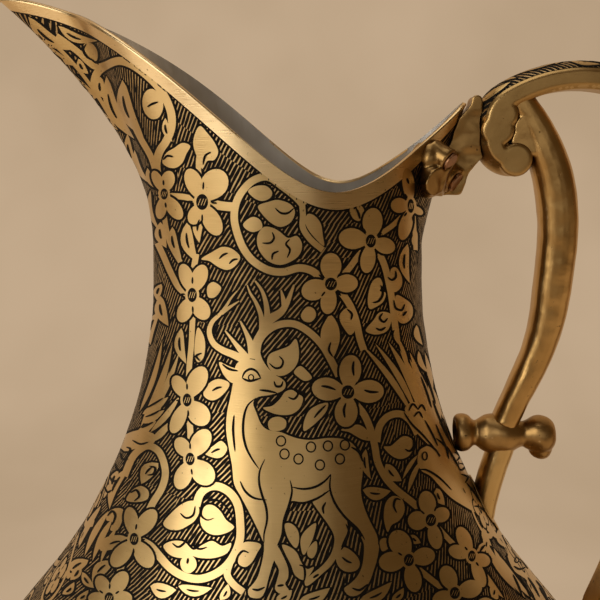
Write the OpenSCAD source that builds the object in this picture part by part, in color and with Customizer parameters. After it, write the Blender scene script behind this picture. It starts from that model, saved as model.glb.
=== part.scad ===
// Hand-engraved brass jug (ewer): a raised body with a long drawn-out pouring lip,
// a cast strap handle with a curled root, and a slimmer stay bar inside the handle.
// Millimetres, +Z up. The origin is the centre of the foot where it stands on the table.
// The handle lies towards +X and the pouring lip towards -X.

/* [Body] */
// Largest outside radius of the belly
belly_r = 112; // [100:1:120]
// Outside radius of the narrowest part of the neck
neck_r = 41.9; // [38:0.1:46]
// Height of the narrowest part of the neck above the table
waist_h = 294; // [280:1:310]
// Thickness of the brass sheet of the body
wall_t = 1.3; // [1:0.1:2]

/* [Mouth and pouring lip] */
// How far the tip of the lip stands out beyond the side of the neck
lip_reach = 46.8; // [40:0.1:52]
// How far the rim stands out at the back, above the handle
rear_reach = 12.8; // [11:0.1:14]
// Height of the lowest point of the rim above the waist
dip_rise = 17.6; // [14:0.1:20]
// Distance of the lowest point of the rim behind the middle of the neck
dip_x = 13.4; // [10:0.1:16]
// Radius of the rounded dip in the rim
dip_round = 17.8; // [12:0.1:22]

/* [Foot] */
// Outside radius of the foot where it stands
foot_r = 55; // [50:0.5:62]
// Height of the foot ring
foot_h = 17; // [14:0.5:18]
// Thickness of the foot ring
foot_t = 2.4; // [2:0.1:3.5]

/* [Handle strap] */
// Width of the strap across the handle
strap_w = 13; // [11:0.5:15]
// Thickness of the flat side of the strap
strap_t = 6.4; // [5.5:0.1:7]
// Rise of the domed outer face of the strap
dome_rise = 2.2; // [1.2:0.1:2.6]
// Bevel along the inner edges of the strap
strap_bevel = 1.3; // [0.6:0.1:1.8]
// Radius of the crown of the handle
crown_r = 40.5; // [38:0.1:43]
// Radius of the round bead that ends the curl
bead_r = 5; // [4.4:0.1:5.6]

/* [Stay bar and collar] */
// Width of the stay bar across the handle
stay_w = 13; // [10:0.5:14]
// Thickness of the upper stay bar at its fullest
stay_t = 12; // [10:0.1:13]
// Thickness of the lower stay bar
lower_stay_t = 8.2; // [7:0.1:9]
// Radius of the end knobs of the collar
knob_r = 6; // [5.2:0.1:6.6]

/* [Bracket and rivets] */
// Thickness of the bracket wings on the neck
bracket_t = 3.6; // [3:0.1:4.5]
// Radius of a rivet head
rivet_head_r = 2.9; // [2.4:0.1:3.2]
// Height of a rivet head above its seat
rivet_head_t = 0.8; // [0.5:0.1:1.2]
// Radius of a rivet shank
rivet_r = 1.4; // [1.2:0.1:1.6]
// Thickness of the plate under the foot of the strap
pad_t = 2.2; // [1.8:0.1:2.6]
// Thickness of the plate under the foot of the stay
stay_pad_t = 1.2; // [1:0.1:1.6]

/* [Hidden] */

brass = [0.72, 0.56, 0.29];
copper = [0.62, 0.36, 0.24];

// clearances and common values
seat_gap = 0.05;
hole_gap = 0.03;
shank_lap = 0.02;
overrun = 2;
half = 0.5;
full_turn = 360;
half_turn = 180;
quarter_turn = 90;

// body outline: height as a share of the waist height, swell as a share of the belly's swell
seam_h_share = 0.381;
upper_height_shares = [0.381, 0.435, 0.49, 0.537, 0.587, 0.631, 0.674, 0.718, 0.761, 0.805, 0.848, 0.892, 0.935, 1];
upper_swell_shares = [1, 0.989, 0.9315, 0.832, 0.668, 0.5225, 0.3985, 0.296, 0.2055, 0.1315, 0.0755, 0.0365, 0.0105, 0];
bowl_height_shares = [0.043, 0.058, 0.082, 0.116, 0.163, 0.2245, 0.2925, 0.381];
bowl_radius_shares = [0.411, 0.518, 0.643, 0.768, 0.879, 0.955, 0.991, 1];
upper_steps = 2;
bowl_steps = 2;
body_fn = 96;

// mouth: how the rim and the flare are shaped
rear_power = 40;
lip_broad_power = 2.4;
lip_beak_power = 110;
lip_broad_share = 0.44;
side_share = 0.985;
rim_v = 1.19;
rim_lean = -0.18;
rim_droop = -0.262;
flare_power = 1.55;
flare_power_swing = 0.25;
half_count = 40;
row_count = 11;
end_crowding = 0.8;
probe_deg = 0.25;
probe_t = 0.01;

// strap path: lengths and turns, from the bead of the curl to the foot
bead_out = 26.5;
bead_rise = 25.3;
curl_run = 0.4;
curl_r = 6.2;
curl_turn = 90;
curl_stations = 8;
neck_run = 5;
root_r = 7.3;
root_turn = 58;
root_stations = 6;
web_r = 4.9;
web_in = 1;
crown_turn = 122;
crown_stations = 18;
back_stations = 8;
straight_deg = 0.5;
foot_out = 2.1;
foot_rise = 18.4;
flick_r = 18;
flick_stations = 6;
toe_kick = 3.2;
toe_run = 9;
toe_bead_r = 3.6;

// foot ring outline as shares of its radius and height
foot_radius_shares = [1, 1, 0.955, 0.915, 0.9, 0.905];
foot_height_shares = [0, 0.12, 0.24, 0.5, 0.76, 1];
foot_steps = 2;

// bracket on the neck: face of each boss, its lean and its size
boss_out = [6, 8.8, 2.6];
boss_side = [13, 5.6, 15.4];
boss_rise = [24.8, 18.8, 19];
boss_turn = [31, 31, 52];
boss_dip = [30, 30, 14];
boss_r = [3.9, 4.1, 4.2];
boss_depth = [6.5, 8.5, 9];
rivet_depth = 8;
riveted_bosses = 2;
wing_half_w = 14;
wing_low_rise = 14.6;
wing_high_rise = 27;
wing_corner_r = 4;
wing_low_out = 2.2;
wing_high_out = 6.2;
wing_near_share = 0.75;
spine_w = 9;
spine_out_shares = [0.3, 0.62, 0.76, 0.98, 1, 0.93, 0.93, 0.78, 0.68, 0.3];
spine_rise_shares = [0.33, 0.34, 0.5, 0.6, 0.7, 0.78, 0.97, 1, 0.93, 0.75];
spine_reach = 17.8;
spine_top = 43.4;
scroll_r = 1.8;
scroll_out = 14.6;
scroll_rise = 42.4;

// stay bars as shares of their reach beyond the neck and of their fall from the top
stay_reach = 41.5;
stay_top_rise = 42.5;
stay_fall = 102.5;
upper_stay_out_shares = [0.665, 0.7855, 0.865, 0.937, 0.983, 1, 0.9855, 0.9566, 0.894, 0.7855, 0.677];
upper_stay_fall_shares = [0, 0.078, 0.1415, 0.2166, 0.307, 0.405, 0.532, 0.6537, 0.761, 0.873, 0.985];
upper_stay_t_shares = [0.74, 0.86, 0.94, 0.985, 1, 0.975, 0.96, 0.885, 0.8, 0.738, 0.69];
upper_stay_w_shares = [1, 1, 1, 1, 1, 1, 0.98, 0.94, 0.9, 0.85, 0.8];
lower_stay_out_shares = [0.69, 0.668, 0.64, 0.61, 0.58, 0.555, 0.535];
lower_stay_fall_shares = [1.03, 1.06, 1.1, 1.145, 1.195, 1.25, 1.31];
lower_stay_w_share = 0.8;
stay_steps = 3;

// collar: a turned knop that lies across the stay and rests on the shoulder
collar_out = 28.3;
collar_stand = 17.11;
collar_fall = 62.3;
collar_reach = 16.2;
collar_along_shares = [-0.74, -0.92, -0.94, -0.86, -0.7, -0.45, -0.25, 0, 0.27, 0.45, 0.68, 0.88, 0.98, 1];
collar_radius_shares = [0, 0.5, 0.74, 0.94, 1, 0.7, 0.98, 1.12, 0.98, 0.74, 1, 0.92, 0.5, 0];
hook_r = 4;
hook_out = 12;
hook_fall = 66.7;

// plates under the feet of the bars
stay_pad_fall = 86.5;
stay_pad_r = 6.6;
stay_pad_lobe_r = 2.6;
stay_pad_lobe_rise = 6.8;
strap_pad_fall = 140;
strap_pad_r = 10.5;
strap_pad_lobe_r = 4.4;
strap_pad_lobe_side = 12;
strap_pad_tip_r = 3.4;
strap_pad_tip_rise = 12;

// Curve helpers

// one point of a smooth curve through p at position i + f
function smooth(p, i, f) =
    let (a = p[max(i - 1, 0)])
    let (b = p[i])
    let (c = p[min(i + 1, len(p) - 1)])
    let (d = p[min(i + 2, len(p) - 1)])
    b + half * f * (c - a + f * (2 * a - 5 * b + 4 * c - d + f * (3 * (b - c) + d - a)));

// a smooth list through p with n steps between neighbours
function smooth_list(p, n) = concat(
    [for (i = [0 : len(p) - 2]) for (k = [0 : n - 1]) smooth(p, i, k / n)],
    [p[len(p) - 1]]
);

function unit(v) = v / norm(v);

// the outline p moved by d to the left of its direction of travel
function shifted(p, d) = [
    for (i = [0 : len(p) - 1])
        let (t = unit(p[min(i + 1, len(p) - 1)] - p[max(i - 1, 0)]))
        p[i] + d * [-t[1], t[0]]
];

function reversed(p) = [for (i = [len(p) - 1 : -1 : 0]) p[i]];

// Body outlines as [radius, height]

swell = belly_r - neck_r;
lean_probe = 1;
upper_knots = [
    for (i = [0 : len(upper_height_shares) - 1])
        [neck_r + swell * upper_swell_shares[i], waist_h * upper_height_shares[i]]
];
upper_outline = smooth_list(upper_knots, upper_steps);
bowl_knots = [
    for (i = [0 : len(bowl_height_shares) - 1])
        [belly_r * bowl_radius_shares[i], waist_h * bowl_height_shares[i]]
];
bowl_outline = smooth_list(bowl_knots, bowl_steps);
bowl_floor_z = bowl_outline[0][1];
strap_pad_z = waist_h - strap_pad_fall;
stay_pad_z = waist_h - stay_pad_fall;
seam_z = waist_h * seam_h_share;

body_table = [for (p = upper_outline) [p[1], p[0]]];

function body_r(z) = lookup(z, body_table);

// upward lean of the outside of the body at height z
function body_lean(z) = atan2(body_r(z - lean_probe) - body_r(z + lean_probe), 2 * lean_probe);

// the outline with its ends squared to level cuts
function levelled(p, z0, z1) = [
    for (i = [0 : len(p) - 1])
        i == 0 ? [p[i][0], z0] : i == len(p) - 1 ? [p[i][0], z1] : p[i]
];

upper_inside = levelled(shifted(upper_outline, wall_t), seam_z, waist_h);
bowl_inside = concat(
    [[bowl_outline[0][0], bowl_floor_z + wall_t]],
    [for (i = [1 : len(bowl_outline) - 2]) shifted(bowl_outline, wall_t)[i]],
    [[belly_r - wall_t, seam_z]]
);

// a revolved solid that fills the body from the bowl floor to the waist, grown by g
module body_core(g) {
    grown = levelled(shifted(upper_outline, -g), seam_z, waist_h);
    rotate_extrude($fn = body_fn)
        polygon(concat([[0, seam_z]], grown, [[0, waist_h]]));
}

// Mouth surface

side_r = neck_r * side_share;

function rim_r(a) =
    let (c = cos(a))
    side_r
    + rear_reach * pow(max(c, 0), rear_power)
    + lip_reach * (
        lip_broad_share * pow(max(-c, 0), lip_broad_power)
        + (1 - lip_broad_share) * pow(max(-c, 0), lip_beak_power)
    );

function rim_z(a) =
    let (u = rim_r(a) * cos(a) - dip_x)
    waist_h + dip_rise
    + rim_v * (sqrt(u * u + dip_round * dip_round) - dip_round)
    + rim_lean * u
    + (u < 0 ? rim_droop * u * u / neck_r : 0);

function mouth_r(a, t) =
    neck_r + (rim_r(a) - neck_r) * pow(t, flare_power - flare_power_swing * cos(a));

// point of the outside of the mouth at angle a and share t of the way up to the rim
function mouth_point(a, t) =
    let (r = mouth_r(a, t))
    [r * cos(a), r * sin(a), waist_h + (rim_z(a) - waist_h) * t];

function mouth_normal(a, t) =
    let (da = mouth_point(a + probe_deg, t) - mouth_point(a - probe_deg, t))
    let (hi = max(t, probe_t) + probe_t)
    let (dt = mouth_point(a, hi) - mouth_point(a, hi - 2 * probe_t))
    unit(cross(da, dt));

// point of the mouth moved outwards by d, kept level at the seam
function mouth_offset(a, t, d) =
    let (p = mouth_point(a, t))
    t == 0
        ? [(neck_r + d) * cos(a), (neck_r + d) * sin(a), waist_h]
        : p + d * mouth_normal(a, t);

// angles crowded towards the back and the tip of the lip
function mouth_angle(s) =
    full_turn * half * (s - end_crowding * sin(full_turn * s) / (2 * PI));

mouth_angles = concat(
    [for (i = [0 : half_count - 1]) mouth_angle(i / half_count)],
    [for (i = [0 : half_count - 1]) half_turn + mouth_angle(i / half_count)]
);
ring = len(mouth_angles);

// faces of a closed band of rings: rings run 0..rows-1 with n points each
function band_faces(n, rows) = [
    for (j = [0 : rows - 2])
        for (i = [0 : n - 1])
            for (k = [0, 1])
                k == 0
                    ? [j * n + i, (j + 1) * n + i, j * n + (i + 1) % n]
                    : [j * n + (i + 1) % n, (j + 1) * n + i, (j + 1) * n + (i + 1) % n]
];

// the sheet of the mouth between two offsets, from the waist to the rim
module mouth_sheet(outer, inner) {
    outer_rows = [for (j = [0 : row_count]) for (a = mouth_angles) mouth_offset(a, j / row_count, outer)];
    inner_rows = [for (j = [row_count : -1 : 0]) for (a = mouth_angles) mouth_offset(a, j / row_count, inner)];
    rows = 2 * (row_count + 1);
    closing = [
        for (i = [0 : ring - 1])
            for (k = [0, 1])
                k == 0
                    ? [(rows - 1) * ring + i, i, (rows - 1) * ring + (i + 1) % ring]
                    : [(rows - 1) * ring + (i + 1) % ring, i, (i + 1) % ring]
    ];
    polyhedron(concat(outer_rows, inner_rows), concat(band_faces(ring, rows), closing));
}

// the mouth filled solid and grown by g, for cutting pieces that sit against the neck
module mouth_core(g) {
    rows = [for (j = [0 : row_count]) for (a = mouth_angles) mouth_offset(a, j / row_count, g)];
    top = len(rows);
    points = concat(rows, [[0, 0, rim_z(0)], [0, 0, waist_h]]);
    caps = [
        for (i = [0 : ring - 1])
            for (k = [0, 1])
                k == 0
                    ? [row_count * ring + i, top, row_count * ring + (i + 1) % ring]
                    : [top + 1, i, (i + 1) % ring]
    ];
    polyhedron(points, concat(band_faces(ring, row_count + 1), caps));
}

// Swept bars, with stations as [x, z, width, thickness]

bar_section_shares = [
    [0.5, 0.22], [0.36, 0.4], [0.15, 0.5], [-0.15, 0.5], [-0.36, 0.4], [-0.5, 0.22],
    [-0.5, -0.22], [-0.36, -0.4], [-0.15, -0.5], [0.15, -0.5], [0.36, -0.4], [0.5, -0.22]
];

function bar_ring(s, i) =
    let (d = unit([
        s[min(i + 1, len(s) - 1)][0] - s[max(i - 1, 0)][0],
        s[min(i + 1, len(s) - 1)][1] - s[max(i - 1, 0)][1]
    ]))
    [
        for (q = bar_section_shares)
            [s[i][0] - d[1] * q[1] * s[i][3], q[0] * s[i][2], s[i][1] + d[0] * q[1] * s[i][3]]
    ];

// a solid skinned over a list of rings of points
module ring_solid(rings) {
    n = len(rings[0]);
    last = (len(rings) - 1) * n;
    polyhedron([for (r = rings) for (p = r) p], concat(
        band_faces(n, len(rings)),
        [[for (i = [0 : n - 1]) i]],
        [[for (i = [n - 1 : -1 : 0]) last + i]]
    ));
}

module swept_bar(s) {
    ring_solid([for (i = [0 : len(s) - 1]) bar_ring(s, i)]);
}

// Strap path of arcs and straights in the XZ plane

// each step of the path is [radius, turn, run, stations]: a turn below zero bends to the right
lead_steps = [
    [0, 0, curl_run, 1],
    [curl_r, -curl_turn, 0, curl_stations],
    [0, 0, neck_run, 1],
    [root_r, -root_turn, 0, root_stations],
    [crown_r, -crown_turn, 0, crown_stations]
];
strap_start = [neck_r + bead_out, waist_h + bead_rise, half_turn];

// centre of the arc that starts at pose p
function arc_centre(p, s) = [
    p[0] + s[0] * cos(p[2] + sign(s[1]) * quarter_turn),
    p[1] + s[0] * sin(p[2] + sign(s[1]) * quarter_turn)
];

// pose [x, z, heading] after share f of a step that starts at pose p
function step_end(p, s, f) =
    s[1] == 0
        ? [p[0] + f * s[2] * cos(p[2]), p[1] + f * s[2] * sin(p[2]), p[2]]
        : let (centre = arc_centre(p, s))
          let (end = p[2] - sign(s[1]) * quarter_turn + f * s[1])
          [centre[0] + s[0] * cos(end), centre[1] + s[0] * sin(end), p[2] + f * s[1]];

// pose after the first n steps of a list
function walk(steps, n) = n == 0 ? strap_start : step_end(walk(steps, n - 1), steps[n - 1], 1);

// the back is the one arc that leaves the crown smoothly and comes down above the foot plate
crown_end = walk(lead_steps, len(lead_steps));
foot_start = [body_r(strap_pad_z) + foot_out, strap_pad_z + foot_rise];
back_line = [foot_start[0] - crown_end[0], foot_start[1] - crown_end[1]];
back_bend = 2 * (atan2(back_line[1], back_line[0]) - crown_end[2]);
back_step = abs(back_bend) < straight_deg
    ? [0, 0, norm(back_line), back_stations]
    : [norm(back_line) / (2 * sin(abs(back_bend) / 2)), back_bend, 0, back_stations];

// the foot bends out until it lies along the belly
flick_turn = body_lean(strap_pad_z) + toe_kick - quarter_turn - crown_end[2] - back_bend;
strap_steps = concat(lead_steps, [
    back_step,
    [flick_r, flick_turn, 0, flick_stations],
    [0, 0, toe_run, 1]
]);

function pose(i) = walk(strap_steps, i);

strap_poses = concat(
    [
        for (i = [0 : len(strap_steps) - 1])
            let (p = pose(i))
            for (k = [0 : strap_steps[i][3] - 1])
                step_end(p, strap_steps[i], k / strap_steps[i][3])
    ],
    [pose(len(strap_steps))]
);

// cross-section as [across, outwards]: flat sides, a domed outer face and bevelled inner edges
dome_across_shares = [0.5, 0.4, 0.27, 0.1, -0.1, -0.27, -0.4, -0.5];
dome_drop = 1;
strap_section = concat(
    [[strap_w / 2, -strap_t / 2 + strap_bevel]],
    [for (q = dome_across_shares) [q * strap_w, strap_t / 2 + dome_rise - (dome_rise + dome_drop) * 4 * q * q]],
    [
        [-strap_w / 2, -strap_t / 2 + strap_bevel],
        [-strap_w / 2 + strap_bevel, -strap_t / 2],
        [strap_w / 2 - strap_bevel, -strap_t / 2]
    ]
);

// a round bead across the strap with bevelled rims
module strap_bead(x, z, r) {
    translate([x, 0, z])
        rotate([quarter_turn, 0, 0])
            rotate_extrude($fn = body_fn)
                polygon([
                    [0, -strap_w / 2],
                    [r - strap_bevel, -strap_w / 2],
                    [r, -strap_w / 2 + strap_bevel],
                    [r, strap_w / 2 - strap_bevel],
                    [r - strap_bevel, strap_w / 2],
                    [0, strap_w / 2]
                ]);
}

module strap_solid() {
    ring_solid([
        for (p = strap_poses)
            [for (q = strap_section) [p[0] - sin(p[2]) * q[1], q[0], p[1] + cos(p[2]) * q[1]]]
    ]);
    strap_bead(strap_start[0], strap_start[1], bead_r);
    web = (pose(2) + pose(3)) / 2;
    strap_bead(web[0] + web_in, web[1], web_r);
    toe = pose(len(strap_steps));
    strap_bead(toe[0], toe[1], toe_bead_r);
}

// Bars, plates and fixings

// the bowl filled solid, grown by g
module bowl_core(g) {
    grown = shifted(bowl_outline, -g);
    rotate_extrude($fn = body_fn)
        polygon(concat([[0, bowl_floor_z - g], [grown[0][0], bowl_floor_z - g]], grown, [[0, seam_z]]));
}

// the sheet that lies on the shoulder or belly, from the seat to a distance t
module body_sheet(t) {
    difference() {
        body_core(t + seat_gap);
        body_core(seat_gap);
    }
}

// turns what stands on +Z to point outwards at turn degrees and down by dip degrees
module facing(turn, dip) {
    rotate([0, quarter_turn + dip, turn])
        children();
}

// the point on boss i, on the side given by s
module at_boss(i, s) {
    translate([neck_r + boss_out[i], s * boss_side[i], waist_h + boss_rise[i]])
        facing(s * boss_turn[i], boss_dip[i])
            children();
}

module neck_rivet_holes() {
    for (s = [-1, 1])
        for (i = [0 : riveted_bosses - 1])
            at_boss(i, s)
                translate([0, 0, -rivet_depth - overrun])
                    cylinder(r = rivet_r + hole_gap, h = rivet_depth + 2 * overrun, $fn = body_fn);
}

// the place of a rivet of the strap's foot plate
module at_foot_rivet(s) {
    r = body_r(strap_pad_z);
    turn = asin(s * strap_pad_lobe_side / r);
    lean = body_lean(strap_pad_z);
    rotate([0, 0, turn])
        translate([r, 0, strap_pad_z])
            rotate([0, quarter_turn - lean, 0])
                translate([0, 0, pad_t + 2 * seat_gap])
                    children();
}

module foot_rivet_holes() {
    for (s = [-1, 1])
        at_foot_rivet(s)
            translate([0, 0, -pad_t - wall_t - 2 * overrun])
                cylinder(r = rivet_r + hole_gap, h = pad_t + wall_t + 3 * overrun, $fn = body_fn);
}

// the stay leans with the shoulder, so that the collar keeps its place on it
collar_x = body_r(waist_h - collar_fall) + collar_stand;
stay_lean = (collar_x - neck_r - collar_out) / (stay_top_rise + collar_fall);

function stay_station(out_share, fall_share, w, t) = [
    neck_r + stay_reach * out_share + stay_lean * stay_fall * fall_share,
    waist_h + stay_top_rise - stay_fall * fall_share,
    w,
    t
];

upper_stay_stations = smooth_list([
    for (i = [0 : len(upper_stay_out_shares) - 1])
        stay_station(
            upper_stay_out_shares[i],
            upper_stay_fall_shares[i],
            stay_w * upper_stay_w_shares[i],
            stay_t * upper_stay_t_shares[i]
        )
], stay_steps);

lower_stay_stations = smooth_list([
    for (i = [0 : len(lower_stay_out_shares) - 1])
        stay_station(
            lower_stay_out_shares[i],
            lower_stay_fall_shares[i],
            stay_w * lower_stay_w_share,
            lower_stay_t
        )
], stay_steps);

// Parts

module neck_and_lip() {
    color(brass)
        difference() {
            mouth_sheet(0, -wall_t);
            neck_rivet_holes();
        }
}

module upper_body() {
    color(brass)
        difference() {
            rotate_extrude($fn = body_fn)
                polygon(concat(upper_outline, reversed(upper_inside)));
            foot_rivet_holes();
        }
}

module lower_bowl() {
    color(brass)
        rotate_extrude($fn = body_fn)
            polygon(concat(
                [[0, bowl_floor_z]],
                bowl_outline,
                reversed(bowl_inside),
                [[0, bowl_floor_z + wall_t]]
            ));
}

module foot_ring() {
    knots = [
        for (i = [0 : len(foot_radius_shares) - 1])
            [foot_r * foot_radius_shares[i], foot_h * foot_height_shares[i]]
    ];
    outer = smooth_list(knots, foot_steps);
    inner = [for (p = outer) [p[0] - foot_t, p[1]]];
    color(brass)
        difference() {
            rotate_extrude($fn = body_fn)
                polygon(concat(outer, reversed(inner)));
            bowl_core(seat_gap);
        }
}

// front view of the two wings that lie on the back of the neck
module wing_outline(wing_low, wing_high) {
    for (s = [-1, 1])
        for (z = [wing_low + wing_corner_r, wing_high - wing_corner_r])
            translate([s * (wing_half_w - wing_corner_r), z])
                circle(r = wing_corner_r, $fn = body_fn);
    translate([-wing_half_w, wing_low + wing_corner_r])
        square([2 * wing_half_w, wing_high - wing_low - 2 * wing_corner_r]);
    translate([-wing_half_w + wing_corner_r, wing_low])
        square([2 * (wing_half_w - wing_corner_r), wing_high - wing_low]);
}

module neck_bracket() {
    wing_low = waist_h + wing_low_rise;
    wing_high = waist_h + wing_high_rise;
    spine = [
        for (i = [0 : len(spine_out_shares) - 1])
            [neck_r + spine_reach * spine_out_shares[i], waist_h + spine_top * spine_rise_shares[i]]
    ];
    color(brass)
        difference() {
            union() {
                intersection() {
                    translate([0, 0, wing_low])
                        cylinder(
                            r1 = neck_r + wing_low_out + bracket_t,
                            r2 = neck_r + wing_high_out + bracket_t,
                            h = wing_high - wing_low,
                            $fn = body_fn
                        );
                    translate([neck_r * wing_near_share, 0, 0])
                        rotate([quarter_turn, 0, quarter_turn])
                            linear_extrude(height = neck_r)
                                wing_outline(wing_low, wing_high);
                }
                translate([0, spine_w / 2, 0])
                    rotate([quarter_turn, 0, 0])
                        linear_extrude(height = spine_w)
                            polygon(spine);
                translate([neck_r + scroll_out, spine_w / 2, waist_h + scroll_rise])
                    rotate([quarter_turn, 0, 0])
                        cylinder(r = scroll_r, h = spine_w, $fn = body_fn);
                for (s = [-1, 1])
                    for (i = [0 : len(boss_out) - 1])
                        at_boss(i, s)
                            translate([0, 0, -boss_depth[i]])
                                cylinder(r = boss_r[i], h = boss_depth[i], $fn = body_fn);
            }
            mouth_core(seat_gap);
            strap_solid();
            neck_rivet_holes();
        }
}

module rivet(depth) {
    cylinder(r = rivet_head_r, h = rivet_head_t, $fn = body_fn);
    translate([0, 0, -depth])
        cylinder(r = rivet_r, h = depth + shank_lap, $fn = body_fn);
}

module neck_rivets() {
    color(copper)
        for (s = [-1, 1])
            for (i = [0 : riveted_bosses - 1])
                at_boss(i, s)
                    rivet(rivet_depth);
}

module handle_strap() {
    color(brass)
        difference() {
            strap_solid();
            body_core(pad_t + 2 * seat_gap);
        }
}

module upper_stay() {
    color(brass)
        difference() {
            swept_bar(upper_stay_stations);
            strap_solid();
        }
}

module lower_stay() {
    color(brass)
        difference() {
            swept_bar(lower_stay_stations);
            body_core(stay_pad_t + 2 * seat_gap);
        }
}

module stay_collar() {
    outline = smooth_list([
        for (i = [0 : len(collar_along_shares) - 1])
            [knob_r * collar_radius_shares[i], collar_reach * collar_along_shares[i]]
    ], stay_steps);
    color(brass)
        difference() {
            union() {
                translate([collar_x, 0, waist_h - collar_fall])
                    rotate([0, quarter_turn, 0])
                        rotate_extrude($fn = body_fn)
                            polygon(outline);
                translate([collar_x + hook_out, 0, waist_h - hook_fall])
                    sphere(r = hook_r, $fn = body_fn);
            }
            swept_bar(upper_stay_stations);
            swept_bar(lower_stay_stations);
            body_core(seat_gap);
        }
}

module stay_foot_plate() {
    color(brass)
        intersection() {
            body_sheet(stay_pad_t);
            translate([0, 0, stay_pad_z])
                rotate([quarter_turn, 0, quarter_turn])
                    linear_extrude(height = belly_r)
                        union() {
                            circle(r = stay_pad_r, $fn = body_fn);
                            for (s = [-1, 1])
                                translate([0, s * stay_pad_lobe_rise])
                                    circle(r = stay_pad_lobe_r, $fn = body_fn);
                        }
        }
}

module strap_foot_plate() {
    color(brass)
        difference() {
            intersection() {
                body_sheet(pad_t);
                translate([0, 0, strap_pad_z])
                    rotate([quarter_turn, 0, quarter_turn])
                        linear_extrude(height = belly_r + overrun)
                            union() {
                                circle(r = strap_pad_r, $fn = body_fn);
                                for (s = [-1, 1]) {
                                    translate([s * strap_pad_lobe_side, 0])
                                        circle(r = strap_pad_lobe_r, $fn = body_fn);
                                    translate([0, s * strap_pad_tip_rise])
                                        circle(r = strap_pad_tip_r, $fn = body_fn);
                                }
                            }
            }
            foot_rivet_holes();
        }
}

module foot_rivets() {
    color(copper)
        for (s = [-1, 1])
            at_foot_rivet(s)
                rivet(pad_t + wall_t + rivet_head_t);
}

neck_and_lip();
upper_body();
lower_bowl();
foot_ring();
neck_bracket();
neck_rivets();
handle_strap();
upper_stay();
stay_collar();
lower_stay();
stay_foot_plate();
strap_foot_plate();
foot_rivets();
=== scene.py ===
import bmesh
import bpy
import math
import numpy as np
from mathutils import Matrix, Vector, geometry, noise


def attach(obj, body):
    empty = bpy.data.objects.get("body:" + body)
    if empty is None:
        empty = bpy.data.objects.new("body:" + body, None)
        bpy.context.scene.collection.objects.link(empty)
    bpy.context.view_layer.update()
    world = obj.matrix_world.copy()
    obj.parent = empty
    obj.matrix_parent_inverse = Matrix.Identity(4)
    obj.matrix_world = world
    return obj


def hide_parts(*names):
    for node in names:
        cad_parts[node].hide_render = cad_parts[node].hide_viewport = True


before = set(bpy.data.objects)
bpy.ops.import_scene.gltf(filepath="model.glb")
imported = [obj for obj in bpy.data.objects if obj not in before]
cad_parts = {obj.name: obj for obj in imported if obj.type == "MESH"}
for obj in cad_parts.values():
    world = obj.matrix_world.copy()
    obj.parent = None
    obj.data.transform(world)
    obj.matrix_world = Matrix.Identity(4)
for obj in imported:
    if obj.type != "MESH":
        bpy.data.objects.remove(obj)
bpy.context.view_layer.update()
scene = bpy.context.scene
scene.view_settings.view_transform = "Standard"

# The stand for the jug: one sheet of beige plastered board that runs level under the foot and curves up behind it.
# A broad lamp stands high on the left, weak ones stand low on the left and in front, and a wide one hangs overhead.
# The lens looks slightly down at the neck.
MM = 0.001
PICTURE_PX = 600
PX_MM = 0.32
AXIS_HEIGHT_MM = 275.0
LENS_TURN = math.radians(3.46)
LENS_DIP = math.radians(10.99)
LENS_DISTANCE_PX = 780.0
LENS_SIDE_PX = 12.0
SENSOR_MM = 36.0
PLASTER_TONE = (0.5941, 0.436, 0.2856, 1)
PLASTER_SHADE = (0.5123, 0.3706, 0.2354, 1)
PLASTER_GLOW = 0.85
ROOM_TONE = (0.088, 0.056, 0.027, 1)
WARM_WHITE = (1.0, 0.95, 0.88)

lens_right = np.array([math.cos(LENS_TURN), math.sin(LENS_TURN), 0.0])
lens_back = np.array([
    math.sin(LENS_TURN) * math.cos(LENS_DIP),
    -math.cos(LENS_TURN) * math.cos(LENS_DIP),
    math.sin(LENS_DIP),
])
lens_up = np.cross(lens_back, lens_right)
lens_at = PX_MM * (lens_back * LENS_DISTANCE_PX + lens_right * LENS_SIDE_PX) + np.array([0, 0, AXIS_HEIGHT_MM])


def placed(name, data):
    """A new object that is put into the scene."""
    made = bpy.data.objects.new(name, data)
    scene.collection.objects.link(made)
    return made


camera_data = bpy.data.cameras.new("photo_lens")
camera_data.sensor_width = SENSOR_MM
camera_data.lens = SENSOR_MM * LENS_DISTANCE_PX / PICTURE_PX
camera_data.clip_start = 0.01
camera = placed("photo_lens", camera_data)
camera_pose = Matrix.Identity(4)
for row in range(3):
    camera_pose[row][0] = lens_right[row]
    camera_pose[row][1] = lens_up[row]
    camera_pose[row][2] = lens_back[row]
    camera_pose[row][3] = lens_at[row] * MM
camera.matrix_world = camera_pose
scene.camera = camera


class Signal:
    """A value that changes over a surface and takes part in sums as a number does."""

    def __init__(self, finish, socket):
        self.finish = finish
        self.socket = socket

    def _sum(self, operation, *values):
        return self.finish.node("ShaderNodeMath", {"operation": operation}, dict(enumerate(values)))

    def __add__(self, other):
        return self._sum("ADD", self, other)

    def __sub__(self, other):
        return self._sum("SUBTRACT", self, other)

    def __rsub__(self, other):
        return self._sum("SUBTRACT", other, self)

    def __mul__(self, other):
        return self._sum("MULTIPLY", self, other)

    __radd__ = __add__

    def wave(self):
        return self._sum("SINE", self)

    def most(self, other):
        return self._sum("MAXIMUM", self, other)

    def step(self, low, high):
        settings = {"interpolation_type": "SMOOTHSTEP"}
        return self.finish.node("ShaderNodeMapRange", settings, {"Value": self, "From Min": low, "From Max": high})


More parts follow.
